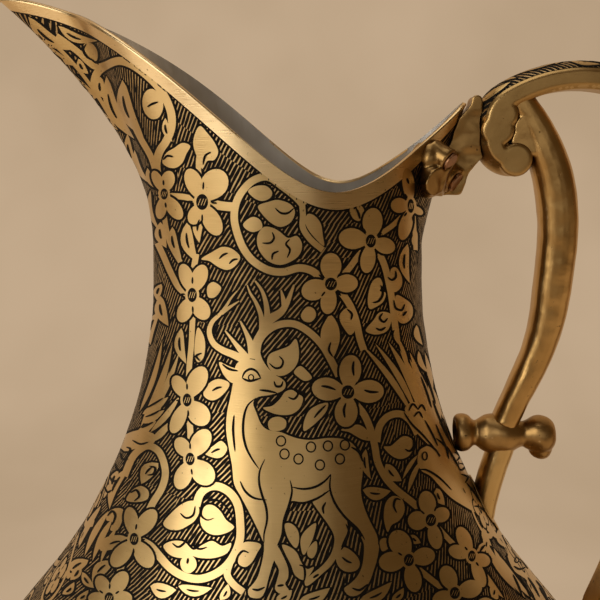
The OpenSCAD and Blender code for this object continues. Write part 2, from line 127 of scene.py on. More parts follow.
class Finish:
    """A finish for one surface, built from nodes."""

    def __init__(self, name):
        self.material = bpy.data.materials.new(name)
        self.material.use_nodes = True
        self.tree = self.material.node_tree
        self.shader = self.tree.nodes["Principled BSDF"]
        self.place = self.node("ShaderNodeTexCoord", out="Object")

    def node(self, kind, settings=None, sockets=None, out=0):
        made = self.tree.nodes.new(kind)
        for key, value in (settings or {}).items():
            setattr(made, key, value)
        for key, value in (sockets or {}).items():
            self.feed(made.inputs[key], value)
        return Signal(self, made.outputs[out])

    def feed(self, socket, value):
        if isinstance(value, Signal):
            self.tree.links.new(value.socket, socket)
        else:
            socket.default_value = value

    def blend(self, factor, low, high):
        settings = {"data_type": "RGBA"}
        return self.node("ShaderNodeMix", settings, {0: factor, 6: low, 7: high}, out=2)

    def noise(self, scale, detail, stretch=None, place=None):
        place = place or self.place
        if stretch:
            place = self.node("ShaderNodeVectorMath", {"operation": "MULTIPLY"}, {0: place, 1: stretch})
        return self.node("ShaderNodeTexNoise", None, {"Vector": place, "Scale": scale, "Detail": detail})

    def coat(self, **sockets):
        for name, value in sockets.items():
            self.feed(self.shader.inputs[name.replace("_", " ")], value)

    def bump(self, height, strength, distance):
        sockets = {"Height": height, "Strength": strength, "Distance": distance}
        self.feed(self.shader.inputs["Normal"], self.node("ShaderNodeBump", None, sockets))


def plaster_finish():
    plaster = Finish("beige_plaster")
    cloud = plaster.noise(3.5, 3.0)
    tone = plaster.blend(cloud.step(0.3, 0.7), PLASTER_SHADE, PLASTER_TONE)
    plaster.coat(Base_Color=tone, Roughness=0.9)
    plaster.bump(plaster.noise(60.0, 4.0), 0.15, 0.002)
    glow = plaster.node("ShaderNodeEmission", None, {"Color": tone, "Strength": 1.0})
    rays = plaster.tree.nodes.new("ShaderNodeLightPath")
    seen = Signal(plaster, rays.outputs["Is Camera Ray"]).most(Signal(plaster, rays.outputs["Is Transmission Ray"]))
    seen = seen.most(Signal(plaster, rays.outputs["Is Glossy Ray"])) * PLASTER_GLOW
    mixed = plaster.node("ShaderNodeMixShader", None, {0: seen, 1: Signal(plaster, plaster.shader.outputs[0]), 2: glow})
    plaster.feed(plaster.tree.nodes["Material Output"].inputs["Surface"], mixed)
    return plaster.material


BOARD_HALF_W = 2.2
BOARD_FRONT = -1.3
BOARD_BACK = 0.75
BOARD_CURVE = 0.35
BOARD_TOP = 1.7
CURVE_STEPS = 12
board_line = [(BOARD_FRONT, 0.0), (BOARD_BACK - BOARD_CURVE, 0.0)]
for step in range(1, CURVE_STEPS + 1):
    bend = math.pi / 2 * step / CURVE_STEPS
    board_line.append((BOARD_BACK - BOARD_CURVE + BOARD_CURVE * math.sin(bend), BOARD_CURVE * (1 - math.cos(bend))))
board_line.append((BOARD_BACK, BOARD_TOP))
board_mesh = bpy.data.meshes.new("plaster_board")
board_points = [(side * BOARD_HALF_W, y, z) for y, z in board_line for side in (-1, 1)]
board_faces = [(2 * i, 2 * i + 1, 2 * i + 3, 2 * i + 2) for i in range(len(board_line) - 1)]
board_mesh.from_pydata(board_points, [], board_faces)
board_mesh.polygons.foreach_set("use_smooth", [True] * len(board_faces))
board_mesh.materials.append(plaster_finish())
board = placed("plaster_board", board_mesh)


def soft_lamp(name, at, aim, width, height, power, tone):
    light = bpy.data.lights.new(name, "AREA")
    light.shape = "RECTANGLE"
    light.size = width
    light.size_y = height
    light.energy = power
    light.color = tone
    lamp = placed(name, light)
    lamp.location = at
    lamp.rotation_euler = (Vector(aim) - Vector(at)).to_track_quat("-Z", "Y").to_euler()


soft_lamp("window_left", (-0.65, -0.70, 0.57), (0, 0, 0.25), 0.75, 0.62, 3.9, (1.0, 0.965, 0.92))
soft_lamp("wall_left", (-1.02, -0.25, 0.14), (0, 0, 0.28), 0.60, 0.50, 0.8, WARM_WHITE)
soft_lamp("wall_front", (0.11, -1.03, 0.48), (0, 0, 0.27), 0.70, 0.42, 0.42, WARM_WHITE)
soft_lamp("ceiling", (-0.2, 0.1, 1.6), (0, 0, 0.2), 0.9, 0.9, 3.3, (1.0, 0.96, 0.91))
sky = bpy.data.worlds.new("room")
sky.use_nodes = True
sky_sockets = sky.node_tree.nodes["Background"].inputs
sky_sockets["Color"].default_value = ROOM_TONE
sky_sockets["Strength"].default_value = 1.0
scene.world = sky

# The body: brass sheet raised over stakes into a pear-shaped belly, a narrow neck and a long drawn-out pouring lip.
# The outside is planished, the ground of the engraving is cut with slanting lines that are filled with black, and
# the inside is wiped with tin. The rim is only filed smooth.
BELLY_R = 112.0
NECK_R = 41.9
WAIST_Z = 294.0
WALL = 1.3
RIM_SHARE = 0.985
REAR_TIP = 12.8
REAR_SHARPNESS = 40
LIP_REACH = 46.8
LIP_SWELL_SHARE = 0.44
LIP_SWELL_POWER = 2.4
LIP_TIP_SHARE = 0.56
LIP_TIP_POWER = 110
DIP_X = 13.4
DIP_RISE = 17.6
DIP_ROUND = 17.8
SIDE_SLOPE = 1.19
SIDE_TILT = 0.18
LIP_SAG = 0.262
FLARE_POWER = 1.55
FLARE_CHANGE = 0.25
SKIN_SINK = 0.18
UPPER_HEIGHTS = [0.381, 0.435, 0.49, 0.537, 0.587, 0.631, 0.674, 0.718, 0.761, 0.805, 0.848, 0.892, 0.935, 1]
UPPER_SWELLS = [1, 0.989, 0.9315, 0.832, 0.668, 0.5225, 0.3985, 0.296, 0.2055, 0.1315, 0.0755, 0.0365, 0.0105, 0]
BOWL_HEIGHTS = [0.043, 0.058, 0.082, 0.116, 0.163, 0.2245, 0.2925, 0.381]
BOWL_RADII = [0.411, 0.518, 0.643, 0.768, 0.879, 0.955, 0.991, 1]
SEAM_Z = WAIST_Z * UPPER_HEIGHTS[0]
FLOOR_Z = WAIST_Z * BOWL_HEIGHTS[0]


def smooth_line(knots, steps, closed=False):
    """A smooth line through the knots."""
    knots = np.asarray(knots, float)
    count = len(knots)
    out = []
    for i in range(count if closed else count - 1):
        near = [(i - 1) % count, i, (i + 1) % count, (i + 2) % count] if closed else [
            max(i - 1, 0), i, i + 1, min(i + 2, count - 1)]
        a, b, c, d = knots[near]
        for k in range(steps):
            f = k / steps
            out.append(b + 0.5 * f * (c - a + f * (2 * a - 5 * b + 4 * c - d + f * (3 * (b - c) + d - a))))
    if not closed:
        out.append(knots[-1])
    return np.array(out)


upper_knots = [[WAIST_Z * h, NECK_R + (BELLY_R - NECK_R) * s] for h, s in zip(UPPER_HEIGHTS, UPPER_SWELLS)]
bowl_knots = [[WAIST_Z * h, BELLY_R * s] for h, s in zip(BOWL_HEIGHTS, BOWL_RADII)]
upper_line = smooth_line(upper_knots, 10)
bowl_line = smooth_line(bowl_knots, 10)
body_line = np.vstack([bowl_line[:-1], upper_line])


def rim_radius(turn):
    c = np.cos(turn)
    forward = np.maximum(c, 0)
    backward = np.maximum(-c, 0)
    lip = LIP_SWELL_SHARE * backward ** LIP_SWELL_POWER + LIP_TIP_SHARE * backward ** LIP_TIP_POWER
    return NECK_R * RIM_SHARE + REAR_TIP * forward ** REAR_SHARPNESS + LIP_REACH * lip


def rim_height(turn):
    u = rim_radius(turn) * np.cos(turn) - DIP_X
    dip = WAIST_Z + DIP_RISE + SIDE_SLOPE * (np.sqrt(u * u + DIP_ROUND ** 2) - DIP_ROUND) - SIDE_TILT * u
    return dip + np.where(u < 0, -LIP_SAG * u * u / NECK_R, 0)


def body_radius(turn, z):
    """Radius of the outside at a turn about the axis and a height, in millimetres."""
    share = np.clip((z - WAIST_Z) / (rim_height(turn) - WAIST_Z), 0, 1)
    mouth = NECK_R + (rim_radius(turn) - NECK_R) * share ** (FLARE_POWER - FLARE_CHANGE * np.cos(turn))
    return np.where(z > WAIST_Z, mouth, np.interp(z, body_line[:, 0], body_line[:, 1]))


def body_point(turn, z):
    r = body_radius(turn, z)
    return np.stack([r * np.cos(turn), r * np.sin(turn), z], -1)


def body_normal(turn, z):
    da = body_point(turn + 0.002, z) - body_point(turn - 0.002, z)
    top = np.minimum(z + 0.25, rim_height(turn) - 0.01)
    dz = body_point(turn, top) - body_point(turn, top - 0.5)
    n = np.cross(da, dz)
    return n / np.linalg.norm(n, axis=-1, keepdims=True)


def body_at(turn, z, lift):
    """A point at a height above the sunk skin of the body."""
    return body_point(turn, z) + body_normal(turn, z) * (np.asarray(lift) - SKIN_SINK)[..., None]


def make_piece(name, points, faces, finishes, replaces=(), normals=None, face_finish=None, uv=None):
    """A smooth-shaded piece from points in millimetres, riding on the jug."""
    mesh = bpy.data.meshes.new(name)
    mesh.from_pydata((np.asarray(points) * MM).tolist(), [], [tuple(int(i) for i in f) for f in faces])
    mesh.polygons.foreach_set("use_smooth", [True] * len(mesh.polygons))
    for finish in finishes:
        mesh.materials.append(finish)
    if face_finish is not None:
        mesh.polygons.foreach_set("material_index", np.asarray(face_finish, int).tolist())
    if uv is not None:
        layer = mesh.uv_layers.new(name="hatching")
        layer.data.foreach_set("uv", np.asarray(uv, float).ravel().tolist())
    if normals is not None:
        mesh.normals_split_custom_set_from_vertices(np.asarray(normals).tolist())
    piece = placed(name, mesh)
    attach(piece, "root")
    if replaces:
        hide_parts(*replaces)


BRASS_LIGHT = (0.80, 0.575, 0.27, 1)
BRASS_DEEP = (0.58, 0.385, 0.145, 1)
TARNISH = (0.200, 0.120, 0.045, 1)
ENAMEL_BLACK = (0.007, 0.005, 0.003, 1)
WORN_FILL = (0.045, 0.028, 0.013, 1)
RIDGE_LIGHT = (0.66, 0.46, 0.21, 1)
RIDGE_DEEP = (0.40, 0.25, 0.10, 1)
RIM_LIGHT = (0.95, 0.72, 0.40, 1)
RIM_DEEP = (0.80, 0.56, 0.26, 1)
TIN_LIGHT = (0.95, 0.94, 0.91, 1)
TIN_DEEP = (0.60, 0.56, 0.50, 1)
LEVEL_STROKES = (140.0, 140.0, 5200.0)


def brass_tone(finish, lines, light=BRASS_LIGHT, deep=BRASS_DEEP):
    """Colour of worn brass: cloudy light and deep tones, fine rubbing lines and a few dark specks."""
    cloud = finish.noise(28.0, 3.0).step(0.32, 0.68)
    tone = finish.blend(cloud * 0.6 + lines * 0.4, deep, light)
    specks = finish.noise(900.0, 1.0).step(0.74, 0.80) * 0.75
    stain = finish.noise(55.0, 4.0).step(0.60, 0.78) * 0.35
    return finish.blend(specks.most(stain), tone, TARNISH)


def rubbed_brass(name, rough=0.33, light=BRASS_LIGHT, deep=BRASS_DEEP):
    """Flat brass rubbed level with fine paper, in level strokes round the body."""
    brass = Finish(name)
    lines = brass.noise(1.0, 3.0, stretch=LEVEL_STROKES)
    tone = brass_tone(brass, lines, light, deep)
    brass.coat(Base_Color=tone, Metallic=1.0, Roughness=rough - 0.08 + lines * 0.16)
    brass.bump(lines + brass.noise(220.0, 2.0) * 0.6, 0.10, 0.0004)
    return brass.material


def hatched_ground():
    """Brass cut with slanting lines that are filled with black. The map runs in millimetres across the lines."""
    ground = Finish("hatched_ground")
    map_at = ground.node("ShaderNodeUVMap", {"uv_map": "hatching"})
    split = ground.tree.nodes.new("ShaderNodeSeparateXYZ")
    ground.feed(split.inputs[0], map_at)
    across = Signal(ground, split.outputs[0])
    wobble = ground.noise(140.0, 1.0) * 2.6
    width = ground.noise(420.0, 1.0)
    along = ground.noise(1.0, 1.0, stretch=(2.2, 0.22, 1.0), place=map_at)
    wave = (across * 5.6 + wobble).wave()
    cut = (wave + (width - 0.5) * 1.1 + (along - 0.5) * 1.6).step(-0.72, -0.50)
    lines = ground.noise(1.0, 2.0, stretch=LEVEL_STROKES)
    ridge = brass_tone(ground, lines, RIDGE_LIGHT, RIDGE_DEEP)
    ground.coat(
        Base_Color=ground.blend(cut, ridge, ENAMEL_BLACK),
        Metallic=1.0 - cut,
        Roughness=0.32 + cut * 0.36,
        Specular_IOR_Level=0.15,
    )
    ground.bump(1.0 - cut, 0.45, 0.0003)
    return ground.material


def black_fill():
    """Black wax and soot rubbed into the cut lines."""
    fill = Finish("black_fill")
    worn = fill.noise(700.0, 2.0)
    fill.coat(
        Base_Color=fill.blend(worn.step(0.60, 0.82), ENAMEL_BLACK, WORN_FILL),
        Roughness=0.60 + worn * 0.2,
        Specular_IOR_Level=0.15,
    )
    fill.bump(worn, 0.2, 0.0002)
    return fill.material


def tin_lining():
    """Tin wiped over the inside: soft grey with runs and darker patches."""
    tin = Finish("tin_lining")
    runs = tin.noise(1.0, 3.0, stretch=(420.0, 420.0, 60.0))
    cloud = tin.noise(40.0, 3.0).step(0.3, 0.7)
    tone = tin.blend(cloud * 0.6 + runs * 0.4, TIN_DEEP, TIN_LIGHT)
    tin.coat(Base_Color=tone, Metallic=1.0, Roughness=0.46 + runs * 0.22)
    tin.bump(runs, 0.25, 0.0006)
    return tin.material


GROUND = hatched_ground()
TOP_BRASS = rubbed_brass("rubbed_brass")
RIM_BRASS = rubbed_brass("rim_brass", rough=0.30, light=RIM_LIGHT, deep=RIM_DEEP)
BLACK = black_fill()
TIN = tin_lining()
PANEL_COLUMNS = 16
PANEL_ROWS = 14
HATCH_DEG = 57.0
HATCH_SPREAD_DEG = 9.0
COLUMNS = 256
EVEN_COLUMNS = 240
RING_CROWDING = 0.8
panel_dice = np.random.default_rng(7)


def full_turn(count):
    """Even turns once round."""
    return np.linspace(0, 2 * math.pi, count, endpoint=False)


def length_along(x, y):
    """How far along a line each of its points lies."""
    return np.concatenate([[0], np.cumsum(np.hypot(np.diff(x), np.diff(y)))])


def ring_turns():
    """Turns round the neck, crowded at the back and at the tip of the lip."""
    share = np.arange(COLUMNS // 2) / (COLUMNS // 2)
    half_ring = math.pi * (share - RING_CROWDING * np.sin(2 * math.pi * share) / (2 * math.pi))
    return np.concatenate([half_ring, math.pi + half_ring])


def ring_faces(rows, columns, flip=False):
    faces = []
    for j in range(rows - 1):
        for i in range(columns):
            k = (i + 1) % columns
            quad = (j * columns + i, j * columns + k, (j + 1) * columns + k, (j + 1) * columns + i)
            faces.append(quad[::-1] if flip else quad)
    return faces


def hatch_map(turns, heights, rows, columns):
    """The map of the slanting lines, laid out panel by panel as an engraver works."""
    run = np.concatenate([np.zeros((1, columns)), np.cumsum(np.abs(np.diff(heights, axis=0)), 0)])
    radius = body_radius(turns, heights)
    panels = (rows // PANEL_ROWS + 2, columns // PANEL_COLUMNS + 1)
    lean = np.radians(HATCH_DEG + HATCH_SPREAD_DEG * panel_dice.uniform(-1, 1, panels))
    uv = []
    for j in range(rows - 1):
        for i in range(columns):
            k = (i + 1) % columns
            middle_column = min((i // PANEL_COLUMNS) * PANEL_COLUMNS + PANEL_COLUMNS // 2, columns - 1)
            tilt = lean[j // PANEL_ROWS, i // PANEL_COLUMNS]
            mirror = 1 if turns[0, i] > math.pi else -1
            for jj, ii in ((j, i), (j, k), (j + 1, k), (j + 1, i)):
                gap = (turns[0, ii] - turns[0, middle_column] + math.pi) % (2 * math.pi) - math.pi
                x = gap * radius[jj, ii] * mirror
                y = run[jj, ii]
                uv.append((x * math.sin(tilt) - y * math.cos(tilt), x * math.cos(tilt) + y * math.sin(tilt)))
    return uv


def body_grid(turns, z0, z1, rows):
    """The turns and heights of rows that run round the body between two heights."""
    heights = z0 + (z1 - z0) * np.linspace(0, 1, rows)[:, None]
    return np.broadcast_to(turns[None, :], heights.shape), heights


def skin_piece(name, turns, z0, z1, rows, node):
    """One stretch of the outside of the body between two heights."""
    turns, heights = body_grid(turns, z0, z1, rows)
    points = body_at(turns, heights, np.zeros(heights.shape))
    normals = body_normal(turns, heights)
    count = turns.shape[1]
    make_piece(
        name, points.reshape(-1, 3), ring_faces(rows, count), [GROUND], (node,),
        normals=normals.reshape(-1, 3), uv=hatch_map(turns, heights, rows, count),
    )


def lining_piece(name, turns, z0, z1, rows):
    """The tin on the inside of one such stretch, with its first ring held level."""
    turns, heights = body_grid(turns, z0, z1, rows)
    inward = WALL * body_normal(turns, heights)
    inward[0] *= np.array([1, 1, 0])
    points = body_point(turns, heights) - inward
    make_piece(name, points.reshape(-1, 3), ring_faces(rows, turns.shape[1], flip=True), [TIN])


def level(z):
    return np.full((1, EVEN_COLUMNS), z)


crowded = ring_turns()
even = full_turn(EVEN_COLUMNS)
rim_stop = rim_height(crowded)[None, :] - 0.05
skin_piece("neck_skin", crowded, WAIST_Z, rim_stop, 56, "neck_and_lip")
skin_piece("shoulder_skin", even, level(SEAM_Z), level(WAIST_Z), 110, "upper_body")
skin_piece("bowl_skin", even, level(FLOOR_Z), level(SEAM_Z), 70, "lower_bowl")
lining_piece("neck_lining", crowded, WAIST_Z, rim_stop - 0.1, 56)
lining_piece("shoulder_lining", even, level(SEAM_Z), level(WAIST_Z), 90)
lining_piece("bowl_lining", even, level(FLOOR_Z + WALL), level(SEAM_Z), 50)

# The floor of the bowl: the flat round left at the middle of the raised sheet. It is tinned on top, and plain brass
# below, inside the foot ring.
FLOOR_R = body_line[0, 1]
for name, height, finish, flip in (
    ("floor_lining", FLOOR_Z + WALL, TIN, False),
    ("floor_skin", FLOOR_Z + 0.1, TOP_BRASS, True),
):
    disc = [[0, 0, height]]
    disc += [[FLOOR_R * s * math.cos(t), FLOOR_R * s * math.sin(t), height] for s in (0.5, 1.0) for t in even]
    sides = [(1 + i, 1 + (i + 1) % EVEN_COLUMNS) for i in range(EVEN_COLUMNS)]
    faces = [(0, i, k) for i, k in sides] + [(i, EVEN_COLUMNS + i, EVEN_COLUMNS + k, k) for i, k in sides]
    make_piece(name, disc, [f[::-1] for f in faces] if flip else faces, [finish])

# The edge of the rim and its plain border: the sheet is filed square, its corners are eased, and a plain band under
# the edge is left free of cuts down to one dark line.
BORDER_MM = 4.6
BORDER_TOP = 0.2
BORDER_ROWS = 5
BORDER_LIFT = 0.10
LINE_LIFT = 0.06
LINE_TOP = BORDER_MM - 0.25
LINE_FOOT = BORDER_MM + 0.55
edge_z = rim_height(crowded) - 0.06
edge_out = body_at(crowded, edge_z, np.full(COLUMNS, BORDER_LIFT))
edge_n = body_normal(crowded, edge_z)
edge_in = body_point(crowded, edge_z) - WALL * edge_n
edge_rings = [
    edge_out - [0, 0, 0.5],
    edge_out - [0, 0, 0.12],
    edge_out * 0.82 + edge_in * 0.18 + [0, 0, 0.02],
    edge_out * 0.18 + edge_in * 0.82 + [0, 0, 0.02],
    edge_in - [0, 0, 0.15],
    edge_in - [0, 0, 0.9],
]
make_piece("rim_edge", np.concatenate(edge_rings), ring_faces(6, COLUMNS), [RIM_BRASS])


def below_rim(drops):
    """The turns and heights of rows that follow the rim, at these distances down the metal from it."""
    turns = np.broadcast_to(crowded[None, :], (len(drops), COLUMNS))
    return turns, rim_height(turns) - np.array(drops)[:, None] * np.sqrt(np.maximum(1 - edge_n[:, 2] ** 2, 0.1))


border_turns, border_z = below_rim(np.linspace(BORDER_MM, BORDER_TOP, BORDER_ROWS))
make_piece(
    "rim_border", body_at(border_turns, border_z, np.full(border_z.shape, BORDER_LIFT)).reshape(-1, 3),
    ring_faces(BORDER_ROWS, COLUMNS), [RIM_BRASS],
    normals=body_normal(border_turns, border_z).reshape(-1, 3),
)
line_turns, line_z = below_rim([LINE_FOOT, LINE_TOP])
make_piece(
    "rim_border_line", body_at(line_turns, line_z, np.full(line_z.shape, LINE_LIFT)).reshape(-1, 3),
    ring_faces(2, COLUMNS), [BLACK],
)

# The engraving: the motifs are left standing as flat brass while the ground between them is cut away in black lines.
# Each motif has a dark outline cut round it, and finer tapered strokes are cut into it afterwards.
OUTLINE_LIFT = 0.03
MOTIF_LIFT = 0.06
BLOOM_RISE = 0.06
STROKE_LIFT = 0.155
OUTLINE_PX = 2.3
LONGEST_EDGE_MM = 2.6
BRASS_TONE = 0
BLACK_TONE = 1
SEARCH_NEAR = 110.0
SEARCH_FAR = 330.0
SEARCH_STEP = 2.5
SEARCH_HALVINGS = 18
FILL_GAP_PX = 6.0


def on_body(spots):
    """Turn and height of the places of the body that picture spots show."""
    spots = np.asarray(spots, float)
    x = spots[:, 0:1] - PICTURE_PX / 2
    y = PICTURE_PX / 2 - spots[:, 1:2]
    ray = -lens_back * LENS_DISTANCE_PX + x * lens_right + y * lens_up
    ray /= np.linalg.norm(ray, axis=1, keepdims=True)

    def depth(along):
        """How deep a ray's point lies inside the outline, with its turn and height."""
        p = lens_at + ray * along[:, None]
        turn = np.arctan2(p[:, 1], p[:, 0]) % (2 * math.pi)
        inside = body_radius(turn, p[:, 2]) - np.hypot(p[:, 0], p[:, 1])
        return np.where(p[:, 2] > rim_height(turn) + 0.5, -50.0, inside), turn, p[:, 2]

    near = np.full(len(spots), SEARCH_NEAR)
    best = np.full(len(spots), -1e9)
    best_at = near.copy()
    found = np.zeros(len(spots), bool)
    hit = near.copy()
    for step in np.arange(SEARCH_NEAR, SEARCH_FAR, SEARCH_STEP):
        value = depth(np.full(len(spots), step))[0]
        better = (value > best) & ~found
        best_at[better] = step
        best[better] = value[better]
        first = (value > 0) & ~found
        hit[first] = step
        found |= first
    high = np.where(found, hit, best_at)
    low = np.where(found, hit - SEARCH_STEP, best_at)
    for _ in range(SEARCH_HALVINGS):
        middle = (low + high) / 2
        value = depth(middle)[0]
        high = np.where(value > 0, middle, high)
        low = np.where(value > 0, low, middle)
    _, turn, z = depth(high)
    return turn, z


def lay_on_body(spots, lifts):
    turn, z = on_body(spots)
    z = np.minimum(z, rim_height(turn) - 0.6)
    return body_at(turn, z, lifts), body_normal(turn, z)


class Engraving:
    """Motifs, outlines and strokes gathered on a flat chart and laid on the metal."""

    def __init__(self, px=1.0):
        self.spots = []
        self.faces = []
        self.lifts = []
        self.tones = []
        self.count = 0
        self.px = px

    def lay(self, spots, faces, lift, tone):
        self.spots.append(np.asarray(spots, float))
        self.faces += [tuple(self.count + i for i in face) for face in faces]
        self.lifts.append(np.full(len(spots), lift))
        self.tones += [tone] * len(faces)
        self.count += len(spots)

    def ribbon(self, line, widths, lift, tone, closed=False):
        line = np.asarray(line, float)
        if closed:
            along = np.roll(line, -1, 0) - np.roll(line, 1, 0)
        else:
            along = np.gradient(line, axis=0)
        along /= np.maximum(np.linalg.norm(along, axis=1, keepdims=True), 1e-6)
        side = np.stack([-along[:, 1], along[:, 0]], 1)
        widths = np.broadcast_to(widths, (len(line),))[:, None]
        rows = [line - side * widths / 2, line, line + side * widths / 2]
        spots = np.stack(rows, 1).reshape(-1, 2)
        count = len(line)
        faces = []
        for i in range(count if closed else count - 1):
            k = (i + 1) % count
            for m in (0, 1):
                faces.append((3 * i + m, 3 * k + m, 3 * k + m + 1, 3 * i + m + 1))
        self.lay(spots, faces, lift, tone)

    def fill(self, outline, lift, tone):
        outline = np.asarray(outline, float)
        gap = FILL_GAP_PX * self.px
        low, high = outline.min(0), outline.max(0)
        across = np.arange(low[0] + gap * 0.5, high[0], gap)
        down = np.arange(low[1] + gap * 0.5, high[1], gap)
        inner = [(x, y) for x in across for y in down if inside_outline((x, y), outline, gap * 0.25)]
        count = len(outline)
        edges = [(i, (i + 1) % count) for i in range(count)]
        points = [Vector(p) for p in outline.tolist()] + [Vector(p) for p in inner]
        made = geometry.delaunay_2d_cdt(points, edges, [], 1, 1e-4)
        spots = np.array([tuple(p) for p in made[0]])
        faces = [tuple(face) for face in made[2]]
        self.lay(spots, faces, lift, tone)

    def motif(self, outline, rise=0.0):
        """A field of flat brass with a dark line cut round it."""
        self.ribbon(outline, 2 * OUTLINE_PX * self.px, OUTLINE_LIFT + rise, BLACK_TONE, closed=True)
        self.fill(outline, MOTIF_LIFT + rise, BRASS_TONE)

    def shape(self, knots, steps=4):
        self.motif(smooth_line(knots, steps, closed=True))

    def vine(self, knots, width, taper=0.0):
        line = smooth_line(knots, 5)
        share = np.linspace(0, 1, len(line))
        widths = width * self.px * (1 - taper * share)
        self.ribbon(line, widths + 2 * OUTLINE_PX * self.px, OUTLINE_LIFT, BLACK_TONE)
        self.ribbon(line, widths, MOTIF_LIFT, BRASS_TONE)

    def stroke(self, knots, width=1.9):
        line = smooth_line(knots, 5)
        share = np.linspace(0, 1, len(line))
        widths = width * self.px * (0.15 + np.sin(np.pi * share) ** 0.6)
        self.ribbon(line, widths, STROKE_LIFT, BLACK_TONE)

    def hoop(self, centre, rx, ry, width):
        turns = full_turn(20)
        line = np.stack([centre[0] + rx * np.cos(turns), centre[1] + ry * np.sin(turns)], 1)
        self.ribbon(line, width * self.px, STROKE_LIFT, BLACK_TONE, closed=True)

    def petal(self, centre, tip, width):
        centre, tip = np.array(centre, float), np.array(tip, float)
        axis = tip - centre
        side = np.array([-axis[1], axis[0]]) / np.linalg.norm(axis)
        share = np.concatenate([np.linspace(0.06, 0.56, 5), 0.58 + 0.42 * np.sin(np.linspace(0.2, math.pi / 2, 6))])
        swell = np.where(
            share < 0.58, np.sin(math.pi / 2 * np.minimum(share / 0.58, 1)) ** 0.9,
            np.sqrt(np.maximum(1 - ((share - 0.58) / 0.42) ** 2, 0)))
        middle = centre + axis * share[:, None]
        out = side * (swell * width / 2)[:, None]
        self.motif(np.concatenate([middle + out, (middle - out)[-2::-1]]), BLOOM_RISE)

    def flower(self, centre, heart, petals):
        for tip_x, tip_y, width in petals:
            self.petal(centre, (tip_x, tip_y), width)
        turns = full_turn(18)
        ring = np.stack([np.cos(turns), np.sin(turns)], 1)
        heart, middle = np.array(heart, float), np.array(centre)
        self.fill(middle + ring * (heart + 2.5 * self.px), MOTIF_LIFT + BLOOM_RISE, BRASS_TONE)
        self.fill(middle + ring * heart, STROKE_LIFT, BLACK_TONE)
        ways = sorted(math.atan2(y - centre[1], x - centre[0]) for x, y, _ in petals)
        for one, two in zip(ways, ways[1:] + [ways[0] + 2 * math.pi]):
            if two - one < 2.6:
                way = np.array([math.cos((one + two) / 2), math.sin((one + two) / 2)])
                self.stroke([middle + way * heart * reach for reach in (1.55, 2.0, 2.5)], 1.7)
        for shift in (-0.45, 0.05, 0.5):
            ends = np.array([[shift - 0.22, 0.42], [shift + 0.22, -0.42]]) * heart + middle
            self.ribbon(np.linspace(ends[0], ends[1], 4), 0.55 * self.px, STROKE_LIFT + 0.02, BRASS_TONE)

    def leaf(self, base, tip, width, bend=0.12, vein=True):
        base, tip = np.array(base, float), np.array(tip, float)
        axis = tip - base
        side = np.array([-axis[1], axis[0]])
        share = np.linspace(0, 1, 9)
        middle = base + axis * share[:, None] + side * (bend * np.sin(math.pi * share))[:, None]
        swell = width / 2 * np.sin(math.pi * share ** 0.85) ** 0.85
        out = side / np.linalg.norm(side) * swell[:, None]
        self.motif(np.concatenate([middle + out, (middle - out)[-2:0:-1]]))
        if vein and width > 6 * self.px:
            self.stroke(middle[2:6])

    def refine(self, lay):
        """Splits the longer edges, so that the flat faces follow the curve of the metal."""
        sheet = bmesh.new()
        spots = np.concatenate(self.spots)
        lifts = np.concatenate(self.lifts)
        corners = [sheet.verts.new((x, y, lift)) for (x, y), lift in zip(spots.tolist(), lifts.tolist())]
        for face, tone in zip(self.faces, self.tones):
            if len(set(face)) > 2:
                sheet.faces.new([corners[i] for i in face]).material_index = tone
        for _ in range(3):
            sheet.verts.index_update()
            flat = np.array([v.co[:] for v in sheet.verts])
            points = lay(flat[:, :2], flat[:, 2])[0]
            ends = np.array([[e.verts[0].index, e.verts[1].index] for e in sheet.edges])
            long = np.linalg.norm(points[ends[:, 0]] - points[ends[:, 1]], axis=1) > LONGEST_EDGE_MM
            if not long.any():
                break
            edges = [edge for edge, is_long in zip(list(sheet.edges), long) if is_long]
            bmesh.ops.subdivide_edges(sheet, edges=edges, cuts=1, use_grid_fill=True)
            bmesh.ops.triangulate(sheet, faces=list(sheet.faces))
        sheet.verts.index_update()
        flat = np.array([v.co[:] for v in sheet.verts])
        faces = [tuple(v.index for v in f.verts) for f in sheet.faces]
        tones = [f.material_index for f in sheet.faces]
        sheet.free()
        return flat[:, :2], flat[:, 2], faces, tones

    def piece(self, name, lay=lay_on_body, mirrored=True, slot="body_brass"):
        spots, lifts, faces, tones = self.refine(lay)
        points, normals = lay(spots, lifts)
        faces = outward(points, faces, normals)
        if mirrored:
            flip = np.array([1, -1, 1])
            count = len(points)
            points = np.concatenate([points, points * flip])
            normals = np.concatenate([normals, normals * flip])
            faces = faces + [tuple(count + i for i in face[::-1]) for face in faces]
            tones = tones + tones
        make_piece(name, points, faces, [TOP_BRASS, BLACK], normals=normals, face_finish=tones)


def inside_outline(spot, outline, margin):
    """Whether a spot lies inside an outline and clear of its points."""
    x, y = spot
    px, py = outline[:, 0], outline[:, 1]
    qx, qy = np.roll(px, -1), np.roll(py, -1)
    crossing = ((py > y) != (qy > y)) & (x < (qx - px) * (y - py) / np.where(qy == py, 1e-9, qy - py) + px)
    return crossing.sum() % 2 == 1 and np.min(np.hypot(px - x, py - y)) > margin


def outward(points, faces, normals):
    """The faces with their fronts turned to the outside of the metal."""
    firsts = np.array([face[:3] for face in faces])
    a, b, c = points[firsts[:, 0]], points[firsts[:, 1]], points[firsts[:, 2]]
    fronts = (np.cross(b - a, c - a) * normals[firsts[:, 0]]).sum(1) > 0
    return [tuple(face) if front else tuple(face[::-1]) for face, front in zip(faces, fronts)]


